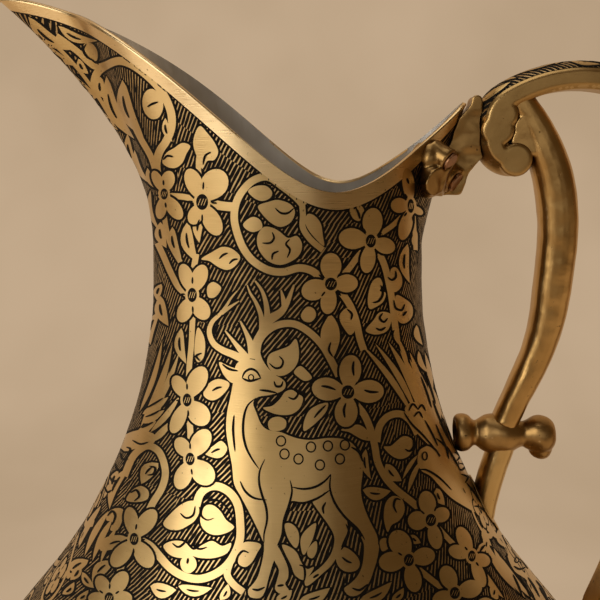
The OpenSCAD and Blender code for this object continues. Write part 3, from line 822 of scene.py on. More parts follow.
# The flowers: open ones of four or five petals with a hatched heart, scattered along the stems. They stand a little
# over the vines, so that their outlines are cut right round them where a stem passes under.
flowers = Engraving()
for centre, heart, tips in (
    ((202, 202), (6.0, 8.0), [(188, 169, 17), (223, 171, 27), (191, 224, 15), (219, 235, 18)]),
    ((192, 295), (4.6, 7.2), [(182, 264, 14), (204, 265, 16), (207, 319, 17), (180, 322, 15)]),
    ((187, 400), (4.4, 6.6), [(174, 376, 14), (204, 367, 19), (207, 424, 21), (172, 433, 14)]),
    ((190, 459), (4.6, 6.4), [(177, 438, 15), (208, 430, 19), (212, 483, 22), (178, 489, 17)]),
    ((134, 539), (4.4, 6.2), [(129, 507, 14), (155, 510, 17), (151, 567, 18), (112, 566, 17)]),
    ((109, 598), (4.6, 5.8), [(98, 576, 14), (126, 572, 16), (88, 598, 12), (132, 598, 14)]),
    ((164, 194), (3.6, 5.6), [(153, 171, 10), (170, 171, 14), (159, 219, 11), (181, 219, 14)]),
    ((371, 241), (5.0, 6.6), [(374, 208, 20), (339, 237, 21), (395, 249, 16), (366, 273, 15)]),
    ((331, 284), (6.0, 6.4), [(331, 253, 21), (302, 294, 21), (358, 283, 18), (327, 314, 16)]),
    ((411, 206), (3.2, 7.0), [(391, 205, 15), (402, 240, 13), (407, 168, 12), (423, 214, 7)]),
    ((348, 392), (6.4, 6.8), [(352, 355, 22), (312, 387, 23), (384, 391, 23), (345, 427, 23)]),
    ((431, 520), (5.2, 6.2), [(425, 491, 17), (449, 511, 15), (408, 521, 19), (438, 549, 14)]),
    ((409, 560), (5.0, 6.2), [(394, 531, 22), (435, 554, 18), (379, 563, 20), (416, 592, 17)]),
    ((472, 556), (3.8, 5.6), [(459, 527, 14), (449, 549, 14), (490, 563, 13), (484, 587, 12)]),
    ((455, 593), (5.0, 6.0), [(444, 566, 17), (482, 586, 18), (433, 602, 15)]),
):
    flowers.flower(centre, heart, tips)
for line in (
    [(354, 361), (353, 368), (354, 376)], [(321, 386), (328, 387), (336, 390)], [(364, 390), (371, 392), (379, 392)],
    [(346, 403), (344, 410), (345, 418)],
):
    flowers.stroke(line, 2.4)
flowers.piece("engraved_flowers")

# The vines: stems of even width that run in rings and S-shaped sweeps from flower to flower. They are brass left
# standing between two dark lines, each as wide at its end as at its start.
vines = Engraving()
for knots, width in (
    ([(322, 279), (312, 271), (299, 268), (283, 272), (268, 270), (253, 261), (243, 248), (237, 233), (234, 218),
      (236, 203), (243, 190), (254, 180), (268, 177), (282, 186), (296, 197), (304, 206)], 7.5),
    ([(302, 203), (303, 215), (303, 228), (311, 240), (323, 250)], 6), ([(208, 203), (222, 206), (235, 207)], 9),
    ([(339, 376), (331, 360), (322, 345), (309, 332), (294, 324), (278, 325), (265, 333), (257, 346), (258, 358),
      (265, 370), (274, 378)], 7),
    ([(196, 506), (200, 494), (209, 487), (220, 487), (231, 494), (238, 506), (240, 522), (240, 538), (235, 553),
      (226, 566), (213, 575), (198, 579), (183, 576), (170, 568), (159, 556), (150, 546), (141, 541)], 8),
    ([(97, 98), (94, 85), (97, 73), (107, 65), (119, 61), (132, 65), (146, 75), (158, 87), (166, 100), (171, 114),
      (171, 128), (166, 141), (159, 152), (156, 166), (159, 183)], 8),
    ([(124, 476), (133, 456), (146, 446), (157, 450), (163, 461), (165, 475), (161, 489), (153, 502), (147, 514),
      (142, 526)], 7),
    ([(354, 402), (364, 414), (371, 430), (375, 446), (378, 462), (386, 478), (397, 490), (411, 501), (425, 513)], 7),
    ([(377, 442), (380, 426), (389, 416), (401, 414), (411, 421), (418, 434)], 7),
    ([(342, 293), (350, 305), (356, 320), (360, 338), (364, 350)], 7),
    ([(379, 252), (385, 266), (389, 282), (392, 298), (394, 314), (396, 330)], 6.5),
    ([(382, 233), (391, 227), (400, 219), (407, 212)], 5), ([(339, 278), (348, 270), (357, 258), (364, 250)], 6),
    ([(200, 148), (198, 166), (201, 188)], 5), ([(196, 254), (193, 272), (192, 288)], 6),
    ([(193, 306), (192, 325), (191, 345), (189, 366), (188, 388)], 5.5), ([(188, 412), (190, 430), (190, 448)], 6),
    ([(157, 243), (163, 256), (170, 272), (178, 287), (186, 294)], 6),
    ([(163, 204), (165, 224), (170, 244), (180, 262)], 5), ([(133, 124), (141, 140), (151, 158), (157, 178)], 6),
    ([(107, 64), (96, 67), (88, 62), (80, 54), (70, 46), (56, 36)], 6), ([(170, 196), (184, 197), (195, 200)], 6),
    ([(437, 526), (446, 536), (456, 546), (466, 553)], 5), ([(415, 566), (427, 576), (440, 586), (450, 592)], 6),
    ([(414, 216), (415, 232), (416, 250)], 4), ([(230, 562), (227, 574), (233, 584), (243, 592)], 7),
    ([(128, 550), (122, 564), (117, 578), (112, 590)], 6),
    ([(44, 36), (62, 52), (80, 72), (98, 97), (114, 124)], 3.5), ([(130, 541), (118, 538), (106, 541), (98, 548)], 6),
):
    vines.vine(knots, width)
vines.piece("engraved_vines")

# The leaves: pointed leaves, scrolled palmettes and buds that fill the rings and the gaps. They are brass left
# standing, each with a vein or a curled stroke cut into it.
leaves = Engraving()
for base, tip, width in (
    ((100, 77), (104, 99), 10), ((106, 76), (134, 139), 13), ((122, 80), (143, 137), 15),
    ((187, 222), (197, 262), 13), ((203, 212), (199, 243), 10), ((181, 328), (186, 364), 10),
    ((147, 168), (156, 189), 6), ((160, 222), (166, 248), 11), ((172, 227), (181, 259), 10),
    ((161, 284), (157, 301), 8), ((363, 490), (391, 491), 13), ((386, 464), (402, 481), 13),
    ((366, 449), (371, 479), 8), ((408, 244), (410, 283), 10), ((417, 231), (418, 251), 6),
    ((398, 326), (401, 346), 6), ((28, 17), (75, 50), 13), ((58, 26), (97, 41), 9), ((78, 59), (88, 74), 8),
    ((127, 134), (140, 171), 8), ((134, 150), (150, 184), 6), ((158, 463), (141, 484), 14),
    ((128, 468), (109, 509), 9), ((128, 541), (100, 551), 13), ((112, 561), (92, 583), 13),
    ((88, 560), (66, 578), 12), ((437, 488), (445, 505), 10), ((411, 535), (421, 543), 8),
    ((490, 541), (478, 560), 8), ((417, 325), (423, 345), 6), ((419, 351), (429, 373), 5),
    ((160, 296), (168, 326), 12), ((158, 312), (150, 345), 9), ((150, 190), (160, 232), 5),
    ((300, 600), (330, 588), 12), ((276, 600), (292, 590), 10), ((150, 586), (176, 590), 15),
    ((178, 586), (212, 588), 11), ((360, 600), (392, 582), 12), ((392, 600), (404, 588), 8),
    ((220, 600), (228, 584), 9), ((70, 580), (80, 562), 8), ((82, 572), (95, 588), 8), ((62, 594), (74, 582), 7),
    ((76, 600), (88, 590), 7), ((56, 578), (66, 570), 5), ((484, 526), (492, 546), 6), ((498, 530), (508, 548), 6),
    ((437, 355), (431, 338), 5), ((165, 118), (172, 142), 7), ((118, 470), (112, 494), 7),
):
    leaves.leaf(base, tip, width)
for knots in (
    [(152, 89), (160, 95), (163, 106), (159, 117), (151, 119), (144, 112), (142, 101), (145, 92)],
    [(296, 339), (299, 352), (297, 364), (289, 373), (279, 376), (271, 371), (267, 362), (270, 354), (279, 350),
     (289, 346)],
    [(196, 502), (189, 501), (180, 505), (171, 513), (163, 523), (168, 529), (178, 530), (187, 526), (195, 520),
     (199, 511)],
    [(204, 507), (212, 505), (220, 511), (226, 520), (234, 527), (226, 533), (214, 535), (204, 530), (200, 520)],
    [(163, 546), (172, 541), (184, 542), (193, 550), (202, 545), (212, 541), (222, 546), (231, 543), (227, 553),
     (214, 558), (200, 558), (191, 556), (181, 558), (170, 555)],
    [(188, 554), (195, 559), (196, 567), (190, 573), (183, 571), (180, 564), (182, 558)],
    [(384, 447), (391, 446), (397, 441), (404, 436), (412, 439), (414, 447), (409, 456), (400, 459), (391, 455)],
    [(384, 301), (378, 306), (370, 309), (368, 300), (370, 288), (374, 280), (380, 278), (383, 285), (380, 291),
     (386, 293)],
    [(391, 270), (397, 268), (402, 277), (402, 286), (396, 292), (389, 290)],
    [(392, 316), (386, 312), (379, 313), (374, 320), (366, 330), (372, 334), (381, 334), (389, 329)],
    [(396, 296), (404, 298), (412, 305), (413, 315), (408, 322), (401, 323), (396, 315)],
    [(200, 126), (207, 133), (214, 142), (218, 152), (214, 160), (207, 161), (202, 169), (198, 160), (193, 145),
     (195, 133)],
    [(201, 259), (212, 252), (222, 247), (232, 249), (240, 257), (235, 266), (227, 270), (218, 267), (209, 261)],
    [(197, 328), (203, 335), (205, 346), (203, 358), (197, 362), (194, 350)],
    [(207, 287), (213, 282), (221, 288), (215, 297), (208, 297)],
    [(203, 394), (208, 384), (218, 379), (229, 383), (226, 391), (217, 399), (209, 400)],
    [(204, 453), (213, 446), (221, 441), (227, 448), (223, 456), (215, 458)],
    [(301, 315), (307, 307), (314, 309), (316, 316), (311, 322), (304, 321)],
    [(331, 315), (338, 325), (340, 338), (337, 350), (333, 357), (329, 350), (322, 345), (321, 332), (325, 322)],
    [(341, 313), (348, 308), (354, 317), (355, 330), (350, 335), (344, 328), (340, 320)],
    [(300, 366), (307, 371), (312, 378), (305, 381), (298, 377), (294, 372)],
    [(263, 408), (272, 406), (280, 399), (285, 392), (292, 390), (298, 394), (303, 398), (300, 408), (292, 414),
     (282, 415), (272, 413)],
    [(268, 423), (272, 418), (280, 417), (286, 421), (285, 428), (278, 431), (270, 430)],
    [(304, 431), (304, 422), (309, 411), (318, 405), (328, 403), (326, 412), (318, 421), (311, 427)],
    [(341, 430), (350, 426), (360, 425), (369, 432), (373, 440), (364, 440), (356, 436), (349, 432)],
    [(384, 515), (386, 503), (393, 496), (402, 499), (405, 510), (400, 520), (392, 525), (388, 532), (385, 524)],
    [(285, 524), (292, 524), (298, 531), (299, 541), (296, 548), (290, 542), (286, 533)],
    [(316, 523), (314, 535), (310, 545), (304, 555), (301, 548), (301, 538), (306, 530)],
    [(316, 541), (317, 550), (313, 558), (308, 556), (308, 549)],
    [(282, 545), (290, 547), (297, 553), (301, 562), (307, 569), (314, 567), (309, 576), (303, 580), (295, 575),
     (291, 565), (286, 555)],
    [(339, 548), (347, 548), (356, 555), (360, 563), (357, 570), (348, 572), (340, 568), (336, 559)],
    [(243, 543), (253, 542), (261, 545), (257, 553), (252, 562), (245, 567), (238, 563), (240, 553)],
    [(380, 541), (386, 538), (392, 544), (388, 549), (382, 551)],
    [(162, 162), (166, 153), (174, 148), (182, 143), (190, 146), (186, 154), (182, 163), (175, 168), (167, 167)],
    [(84, 44), (92, 44), (97, 52), (96, 61), (88, 58), (84, 51)],
    [(126, 500), (132, 490), (141, 486), (148, 491), (147, 499), (137, 502)],
    [(108, 512), (116, 508), (123, 510), (122, 520), (117, 530), (110, 530), (112, 522), (106, 520)],
    [(102, 540), (110, 536), (119, 538), (124, 543), (117, 546), (110, 548), (104, 546)],
    [(248, 191), (256, 186), (266, 186), (272, 192), (270, 198), (262, 201), (254, 198)],
    [(268, 202), (278, 200), (290, 204), (295, 212), (291, 222), (281, 227), (271, 223), (262, 214), (258, 206)],
    [(243, 224), (252, 217), (260, 220), (262, 228), (254, 232), (247, 230)],
    [(258, 234), (264, 227), (273, 228), (280, 232), (288, 238), (297, 236), (302, 244), (300, 254), (292, 261),
     (280, 265), (268, 261), (260, 252), (257, 243)],
    [(308, 214), (315, 216), (321, 224), (323, 236), (324, 246), (315, 238), (308, 229), (305, 221)],
    [(350, 209), (358, 204), (364, 209), (363, 217), (359, 221), (353, 218)],
    [(401, 187), (404, 176), (411, 170), (413, 178), (410, 188)],
):
    leaves.shape(knots)
for knots in (
    [(107, 516), (112, 511), (115, 516), (112, 525)], [(149, 466), (155, 468), (153, 474), (147, 475)],
    [(130, 493), (136, 490), (139, 496), (134, 501)], [(147, 107), (152, 104), (158, 102)],
    [(279, 356), (283, 361), (281, 367), (275, 368), (269, 363)], [(180, 513), (186, 518), (193, 515), (195, 506)],
    [(172, 543), (178, 547), (184, 543), (187, 537)],
    [(214, 518), (207, 520), (201, 515), (203, 506), (211, 500), (221, 502), (229, 511), (234, 525)],
    [(196, 540), (194, 546), (200, 549), (207, 547)], [(188, 558), (187, 564)],
    [(413, 437), (414, 446), (410, 451), (405, 449)], [(373, 303), (379, 301), (383, 294), (381, 285)],
    [(388, 277), (392, 280), (396, 277), (396, 271)], [(388, 318), (384, 322), (380, 318), (383, 313)],
    [(376, 328), (381, 330), (386, 327)], [(394, 300), (396, 308), (402, 310), (405, 304)], [(403, 316), (407, 311)],
    [(211, 152), (205, 156), (203, 165)], [(219, 259), (223, 255), (228, 253)], [(229, 264), (233, 260), (238, 259)],
    [(202, 353), (196, 356), (200, 361)], [(212, 391), (217, 388), (222, 387)], [(211, 453), (216, 450), (220, 449)],
    [(331, 342), (329, 350), (333, 357)], [(347, 309), (352, 314), (351, 320)],
    [(288, 397), (294, 399), (298, 394), (296, 388)], [(314, 418), (319, 412), (326, 405)],
    [(397, 513), (394, 506), (396, 499), (401, 500)], [(299, 565), (304, 567), (305, 576), (303, 583)],
    [(342, 557), (347, 561), (352, 563)], [(249, 553), (243, 551), (238, 556), (235, 563)],
    [(163, 160), (167, 156), (173, 157)], [(86, 44), (83, 50), (87, 57), (94, 61)],
    [(275, 208), (281, 213), (288, 213), (294, 208)], [(262, 243), (270, 243), (274, 238), (272, 232)],
    [(287, 258), (290, 250), (286, 244), (290, 239)], [(272, 260), (273, 254), (279, 251)],
    [(356, 208), (359, 214), (360, 219)], [(407, 178), (409, 184)],
):
    leaves.stroke(knots, 2.1)
leaves.piece("engraved_leaves")

# The stag: a spotted deer at the middle of each side that looks back over its body, its antlers spread among the
# vines. It is one field of brass left standing, and its folds, hooves and spots are fine cut lines.
stag = Engraving()
for knots in (
    [(233, 382), (230, 398), (227, 412), (226, 430), (229, 450), (232, 466), (234, 484), (241, 497), (250, 514),
     (258, 530), (264, 543), (270, 548), (277, 545), (282, 535), (284, 520), (288, 508), (291, 501), (304, 502),
     (318, 497), (329, 490), (332, 496), (338, 508), (347, 519), (358, 530), (366, 541), (372, 547), (378, 545),
     (377, 535), (370, 521), (364, 506), (361, 490), (363, 470), (360, 455), (353, 444), (343, 439), (328, 438),
     (312, 440), (300, 439), (290, 436), (280, 432), (268, 430), (261, 424), (256, 412), (253, 403), (258, 397),
     (270, 395), (280, 392), (285, 388), (285, 382), (279, 377), (271, 373), (265, 367), (257, 361), (248, 359),
     (240, 361), (235, 367)],
    [(265, 540), (277, 543), (277, 552), (272, 566), (268, 580), (265, 591), (260, 598), (250, 597), (248, 590),
     (253, 584), (258, 576), (262, 562), (264, 550)],
    [(277, 546), (283, 556), (288, 568), (288, 578), (285, 584), (289, 591), (281, 594), (275, 589), (277, 580),
     (279, 570), (274, 560), (272, 552)],
    [(312, 500), (321, 496), (330, 490), (338, 506), (346, 518), (348, 530), (343, 542), (338, 555), (331, 566),
     (322, 574), (312, 583), (306, 586), (305, 580), (312, 574), (322, 566), (330, 556), (334, 545), (334, 535),
     (328, 524), (320, 513)],
    [(362, 536), (378, 543), (378, 556), (374, 570), (369, 583), (360, 594), (350, 596), (344, 589), (350, 584),
     (357, 577), (362, 567), (364, 554), (364, 544)],
    [(219, 362), (228, 366), (237, 370), (239, 380), (232, 383), (225, 377), (221, 370)],
):
    stag.shape(knots, 3)
for knots, width in (
    ([(246, 361), (234, 355), (222, 350), (213, 343), (209, 332), (212, 322), (220, 314), (226, 306), (231, 298),
      (237, 291)], 8),
    ([(221, 313), (230, 307), (239, 301)], 5), ([(248, 360), (241, 351), (233, 341), (225, 331)], 8),
    ([(253, 358), (251, 346), (247, 335), (240, 321)], 10),
    ([(254, 359), (257, 343), (263, 330), (267, 318), (266, 304), (262, 291), (255, 281)], 11),
    ([(262, 330), (261, 316), (256, 303), (250, 293), (247, 285)], 6),
    ([(263, 324), (272, 318), (281, 312), (287, 303), (291, 293), (294, 285)], 11),
    ([(285, 307), (283, 298), (281, 290)], 7),
):
    stag.vine(knots, width, taper=0.85)
for knots in (
    [(242, 378), (245, 372), (251, 369), (257, 372), (261, 379)], [(242, 378), (250, 381), (261, 378)],
    [(274, 381), (276, 386), (281, 386), (283, 381)], [(259, 390), (268, 391), (277, 393)],
    [(256, 398), (248, 405), (244, 416), (243, 432), (246, 447), (252, 459), (259, 469)],
    [(234, 415), (233, 430), (235, 452)],
    [(265, 459), (260, 470), (259, 482), (262, 495), (266, 507), (267, 520), (264, 534), (264, 543)],
    [(240, 481), (245, 491), (254, 498), (267, 500)], [(292, 487), (303, 489), (315, 487), (325, 481), (331, 474)],
    [(290, 480), (292, 491), (289, 505), (284, 520), (282, 535), (277, 546)],
    [(291, 502), (304, 503), (318, 498), (330, 490)],
    [(331, 474), (330, 488), (335, 503), (345, 517), (358, 529), (365, 540)], [(326, 502), (323, 508), (324, 514)],
    [(346, 524), (349, 532), (345, 543), (341, 550)], [(222, 364), (229, 369), (238, 371)],
    [(252, 589), (258, 590), (265, 587)], [(352, 588), (360, 590), (368, 584)], [(313, 578), (319, 574)],
    [(277, 586), (284, 585)], [(351, 447), (359, 452), (363, 462)],
):
    stag.stroke(knots, 2.2)
for spot in ((281, 441), (284.5, 454), (298.5, 459), (311, 447), (328, 446), (345, 445), (320, 465), (340, 459)):
    stag.hoop(spot, 4.6, 5.0, 1.5)
stag.hoop((251, 377.5), 2.6, 2.8, 1.3)
stag.piece("engraved_stag")

# The birds: long-tailed ones that perch at the edges of each side. Their feathers are narrow leaves of brass laid side
# by side, and short curved cuts mark the scales of the body.
birds = Engraving()
for base, tip, width in (
    ((412, 413), (362, 345), 6), ((416, 411), (375, 343), 6), ((420, 410), (388, 341), 6.5),
    ((424, 412), (400, 350), 6.5), ((428, 416), (410, 359), 6), ((434, 430), (419, 370), 6),
    ((439, 441), (428, 385), 5), ((421, 461), (408, 493), 5), ((418, 455), (403, 479), 4),
    ((140, 427), (172, 344), 7), ((146, 421), (179, 352), 6), ((141, 441), (169, 371), 6),
    ((139, 412), (162, 340), 5), ((150, 432), (180, 395), 6), ((150, 442), (172, 420), 7), ((108, 511), (84, 556), 6),
    ((112, 519), (92, 561), 6), ((116, 528), (100, 563), 5), ((101, 505), (78, 548), 5), ((486, 542), (516, 590), 6),
    ((142, 414), (168, 397), 8), ((141, 423), (164, 410), 7), ((136, 433), (156, 421), 7),
    ((409, 372), (396, 334), 4), ((432, 398), (425, 352), 5), ((441, 424), (431, 384), 4.5),
    ((423, 400), (410, 352), 5), ((494, 548), (526, 598), 6), ((500, 556), (534, 600), 5),
    ((480, 566), (504, 598), 6), ((484, 518), (500, 540), 6), ((496, 520), (512, 542), 5),
):
    birds.leaf(base, tip, width, bend=0.04, vein=False)
for knots in (
    [(405, 409), (414, 402), (427, 406), (438, 420), (447, 437), (459, 456), (472, 477), (485, 500), (492, 512),
     (482, 515), (468, 508), (452, 498), (440, 486), (431, 476), (422, 471), (418, 463), (419, 452), (425, 446),
     (430, 446), (422, 438), (414, 428)],
    [(118, 441), (128, 433), (142, 430), (156, 436), (150, 446), (137, 448), (124, 451)],
    [(508, 556), (514, 552), (522, 554), (530, 561), (538, 571), (546, 583), (552, 594), (544, 597), (535, 589),
     (525, 578), (515, 571)],
):
    birds.shape(knots, 3)
for knots in (
    [(409, 411), (413, 404), (418, 409)], [(418, 410), (422, 405), (426, 411)], [(414, 417), (419, 412), (423, 418)],
    [(455, 452), (460, 456), (457, 461)], [(459, 463), (466, 465), (462, 470), (459, 468)],
    [(461, 474), (468, 477), (465, 483)], [(421, 376), (427, 392), (432, 408)], [(426, 372), (431, 388), (436, 404)],
    [(433, 400), (438, 414), (444, 428)], [(466, 482), (474, 492), (481, 503)], [(474, 486), (480, 496)],
    [(447, 446), (454, 458), (460, 469)], [(436, 424), (441, 436), (446, 447), (449, 459)],
    [(425, 420), (432, 433), (438, 446)], [(474, 506), (480, 507), (485, 512)], [(480, 500), (486, 508)],
    [(404, 412), (412, 424), (424, 436), (441, 456)], [(420, 449), (428, 445), (436, 450), (440, 457)],
    [(436, 438), (446, 447), (449, 459)], [(418, 470), (427, 470), (440, 478), (452, 490)],
    [(132, 440), (140, 444), (148, 442)], [(514, 566), (520, 569), (526, 567)], [(520, 577), (526, 586), (531, 598)],
    [(528, 577), (534, 586), (540, 597)], [(513, 574), (518, 584), (523, 597)], [(536, 580), (542, 588), (547, 597)],
    [(126, 447), (130, 449), (127, 455)], [(120, 452), (122, 459), (128, 459)], [(115, 463), (117, 470), (122, 470)],
    [(109, 475), (112, 481), (117, 480)], [(104, 486), (107, 492), (111, 490)], [(146, 408), (155, 403), (163, 398)],
    [(145, 417), (153, 414), (160, 410)], [(141, 428), (147, 425), (153, 422)],
):
    birds.stroke(knots, 1.8)
birds.hoop((425, 456), 2.4, 4.0, 1.4)
birds.hoop((517, 560), 2.0, 2.4, 1.2)
birds.piece("engraved_birds")

# The rows: below the picture the same work goes on down the belly and the bowl, in rows of vine rings round open
# flowers with leaves between them. The places under the lip and behind the handle have a column each.
LEAF_PX = 0.30
RUN_STEP = 24.5
RING_MM = 8.6
FRAME_CLEAR_PX = 627
EDGE_ON_SHARE = 0.24
RUN_SIDE_TURN = 0.3
RUN_COUNT = 700
RIM_CLEAR = 6.0
ROW_HEIGHTS = (232, 211, 189.5, 168, 146, 122, 97, 72, 50)
SPOUT_RING_HEIGHTS = (252, 268, 284, 300)
SPOUT_RING_SHARE = 0.105
SPOUT_LEAF_HEIGHTS = (312, 322, 332, 342, 351)
HANDLE_LEAF_HEIGHTS = (254, 266, 278, 290, 302)
run_z = np.linspace(rim_height(math.pi), FLOOR_Z, RUN_COUNT)
run_r = body_radius(np.full(RUN_COUNT, RUN_SIDE_TURN), run_z)
run_down = length_along(run_z, run_r)


def run_at(z):
    """How far down the metal a height lies from the tip of the lip."""
    return float(np.interp(-z, -run_z, run_down))


def in_picture(turn, z):
    """Whether the near side's picture shows this place of the body."""
    p = body_point(np.array([turn]), np.array([z]))[0]
    p[1] = -abs(p[1])
    away = p - lens_at
    depth = -away @ lens_back
    down = PICTURE_PX / 2 - LENS_DISTANCE_PX * (away @ lens_up) / depth
    facing = body_normal(np.array([-abs(turn)]), np.array([z]))[0] @ -away
    return down < FRAME_CLEAR_PX and facing > EDGE_ON_SHARE * np.linalg.norm(away)


def lay_in_row(radius):
    """Lays a flat strip of millimetres round the body at this radius."""
    def lay(spots, lifts):
        turn = spots[:, 0] / radius
        z = np.minimum(np.interp(spots[:, 1], run_down, run_z), rim_height(turn) - RIM_CLEAR)
        return body_at(turn, z, lifts), body_normal(turn, z)
    return lay


def ring_cell(work, u, v, size, start, blossoms):
    """A ring of vine round a flower, with a leaf in each corner."""
    turns = np.radians(start + np.linspace(0, 300, 9))
    ring = [(u + size * math.cos(t), v + size * math.sin(t)) for t in turns]
    tail = (u + 1.55 * size * math.cos(turns[0] - 0.75), v + 1.55 * size * math.sin(turns[0] - 0.75))
    work.vine([tail] + ring, 6.5, taper=0.35)
    heart = (0.17 * size, 0.19 * size)
    work.flower((u, v), heart, [
        (u + 0.74 * size * math.cos(a), v + 0.74 * size * math.sin(a), 0.56 * size)
        for a in np.radians(start + 20 + np.arange(blossoms) * 360 / blossoms)])
    for corner in (45, 135, 225, 315):
        c, d = math.cos(math.radians(corner)), math.sin(math.radians(corner))
        base = (u + 1.18 * size * c, v + 1.18 * size * d)
        tip = (u + 1.75 * size * c - 0.3 * size * d, v + 1.75 * size * d + 0.3 * size * c)
        work.leaf(base, tip, 0.50 * size)


def leaf_pair(work, u, z, roots, tips, width):
    """Two leaves side by side, each given as distances from the middle and down the metal."""
    work.leaf((u - roots[0], run_at(z) + roots[1]), (u - tips[0], run_at(z) - tips[1]), width)
    work.leaf((u + roots[0], run_at(z) + roots[1]), (u + tips[0], run_at(z) - tips[1]), width, bend=-0.12)


row_dice = np.random.default_rng(11)
for row, row_z in enumerate(ROW_HEIGHTS):
    row_r = float(body_radius(0.0, row_z))
    cells = 2 * int(round(math.pi * row_r / RUN_STEP))
    work = Engraving(px=LEAF_PX)
    for cell in range(cells):
        turn = 2 * math.pi * (cell + 0.5 * (row % 2)) / cells
        turn = (turn + math.pi) % (2 * math.pi) - math.pi
        if not in_picture(turn, row_z):
            ring_cell(work, turn * row_r, run_at(row_z), RING_MM, float(row_dice.uniform(0, 360)), 4 + cell % 2)
    if work.count:
        work.piece("engraved_row_%d" % (row + 1), lay_in_row(row_r), mirrored=False)

spout_column = Engraving(px=LEAF_PX)
for z in SPOUT_RING_HEIGHTS:
    size = SPOUT_RING_SHARE * float(body_radius(math.pi, z))
    ring_cell(spout_column, math.pi * NECK_R, run_at(z), size, 3.0 * z, 4)
for z in SPOUT_LEAF_HEIGHTS:
    leaf_pair(spout_column, math.pi * NECK_R, z, (3.2, 4), (0.4, 4.5), 3.0)
spout_column.piece("engraved_spout_column", lay_in_row(NECK_R), mirrored=False)
handle_column = Engraving(px=LEAF_PX)
for z in HANDLE_LEAF_HEIGHTS:
    leaf_pair(handle_column, 0, z, (2.6, 5), (0.6, 5.5), 3.2)
handle_column.piece("engraved_handle_column", lay_in_row(NECK_R), mirrored=False)

# The petal border: upright petals left standing side by side round the bowl, each with one vein. They close the
# ornament above the foot.
PETAL_COUNT = 36
PETAL_W = 10.5
PETAL_FOOT_Z = 19.0
PETAL_TIP_Z = 32.0
VEIN_HEIGHTS = (21.5, 25.0, 28.0)
VEIN_BEND = 0.4
PETAL_R = float(body_radius(0.0, VEIN_HEIGHTS[2]))
petal_border = Engraving(px=LEAF_PX)
for k in range(PETAL_COUNT):
    u = 2 * math.pi * PETAL_R * k / PETAL_COUNT
    petal_border.petal((u, run_at(PETAL_FOOT_Z)), (u, run_at(PETAL_TIP_Z)), PETAL_W)
    foot, middle, top = [run_at(z) for z in VEIN_HEIGHTS]
    petal_border.stroke([(u, foot), (u + VEIN_BEND, middle), (u, top)])
petal_border.piece("engraved_petal_border", lay_in_row(PETAL_R), mirrored=False)

# The bracket: a casting of worn bosses and a short spine that lies on the back of the neck under the rim. Years of
# handling have rounded its edges, and painted shade darkens its recesses.
# The dark colour of the castings: real dirt in the pits, and painted shade in the recesses and creases.
CAST_DIRT_AND_SHADE = (0.090, 0.052, 0.020, 1)
CAST_EDGE = (0.84, 0.62, 0.31, 1)
BRACKET_LIGHT = (0.56, 0.35, 0.130, 1)
BRACKET_DEEP = (0.23, 0.130, 0.042, 1)


def cast_brass(name, light, deep, rough, pits=0.8, grain=(260.0, 60.0, 260.0)):
    """Cast brass worn by hands: uneven tone, small pits, painted shade darkening the recesses and creases, and faint
    file marks.
    """
    brass = Finish(name)
    cloud = brass.noise(45.0, 4.0).step(0.30, 0.70)
    marks = brass.noise(1.0, 3.0, stretch=grain)
    tone = brass.blend(cloud * 0.65 + marks * 0.35, deep, light)
    pores = brass.noise(620.0, 2.0).step(0.70, 0.76) * pits
    surface_curvature = brass.node("ShaderNodeNewGeometry", out="Pointiness")
    shut_in = brass.node("ShaderNodeAmbientOcclusion", {"samples": 6}, {"Distance": 0.005}, out="AO")
    # Painted shade: creases and recesses, found by low pointiness and by ambient occlusion, are darkened towards the
    # dirt-and-shade colour.
    painted_hollow_shade = ((0.5 - surface_curvature).step(0.004, 0.05) * 0.7).most((0.78 - shut_in).step(0.0, 0.4) * 0.85)
    raised = (surface_curvature - 0.5).step(0.01, 0.08) * 0.5
    tone = brass.blend(raised, tone, CAST_EDGE)
    brass.coat(
        Base_Color=brass.blend(pores.most(painted_hollow_shade), tone, CAST_DIRT_AND_SHADE),
        Metallic=1.0,
        Roughness=rough + cloud * 0.08 + pores * 0.25,
    )
    brass.bump(cloud * 0.6 + marks * 0.25 + brass.noise(160.0, 3.0) - pores * 0.5, 0.22, 0.0007)
    return brass.material


def cad_shape(name):
    """The points in millimetres and the faces of a CAD piece, with its doubled corners joined."""
    solid = bmesh.new()
    solid.from_mesh(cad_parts[name].data)
    bmesh.ops.remove_doubles(solid, verts=solid.verts, dist=2e-6)
    points = [[c / MM for c in v.co] for v in solid.verts]
    faces = [[v.index for v in f.verts] for f in solid.faces]
    solid.free()
    return points, faces


def turned(outline, place, count=40):
    """A closed turned form: outline as [radius, along], with place giving the point for along and two side lengths."""
    rings = [(r, a) for r, a in outline if r > 1e-6]
    turns = full_turn(count)
    points = [place(a, r * math.cos(t), r * math.sin(t)) for r, a in rings for t in turns]
    low = len(points)
    points += [place(outline[0][1], 0, 0), place(outline[-1][1], 0, 0)]
    faces = ring_faces(len(rings), count)
    last = (len(rings) - 1) * count
    faces += [(low, (i + 1) % count, i) for i in range(count)]
    faces += [(low + 1, last + i, last + (i + 1) % count) for i in range(count)]
    return points, faces


def lump(centre, radii):
    """A closed egg-shaped lump of metal."""
    ring = [(math.sin(t), -math.cos(t)) for t in np.linspace(0, math.pi, 15)]
    ring[0] = (0, -1)
    ring[-1] = (0, 1)

    def place(along, one, two):
        return [centre[0] + one * radii[0], centre[1] + two * radii[1], centre[2] + along * radii[2]]

    return turned(ring, place, 24)


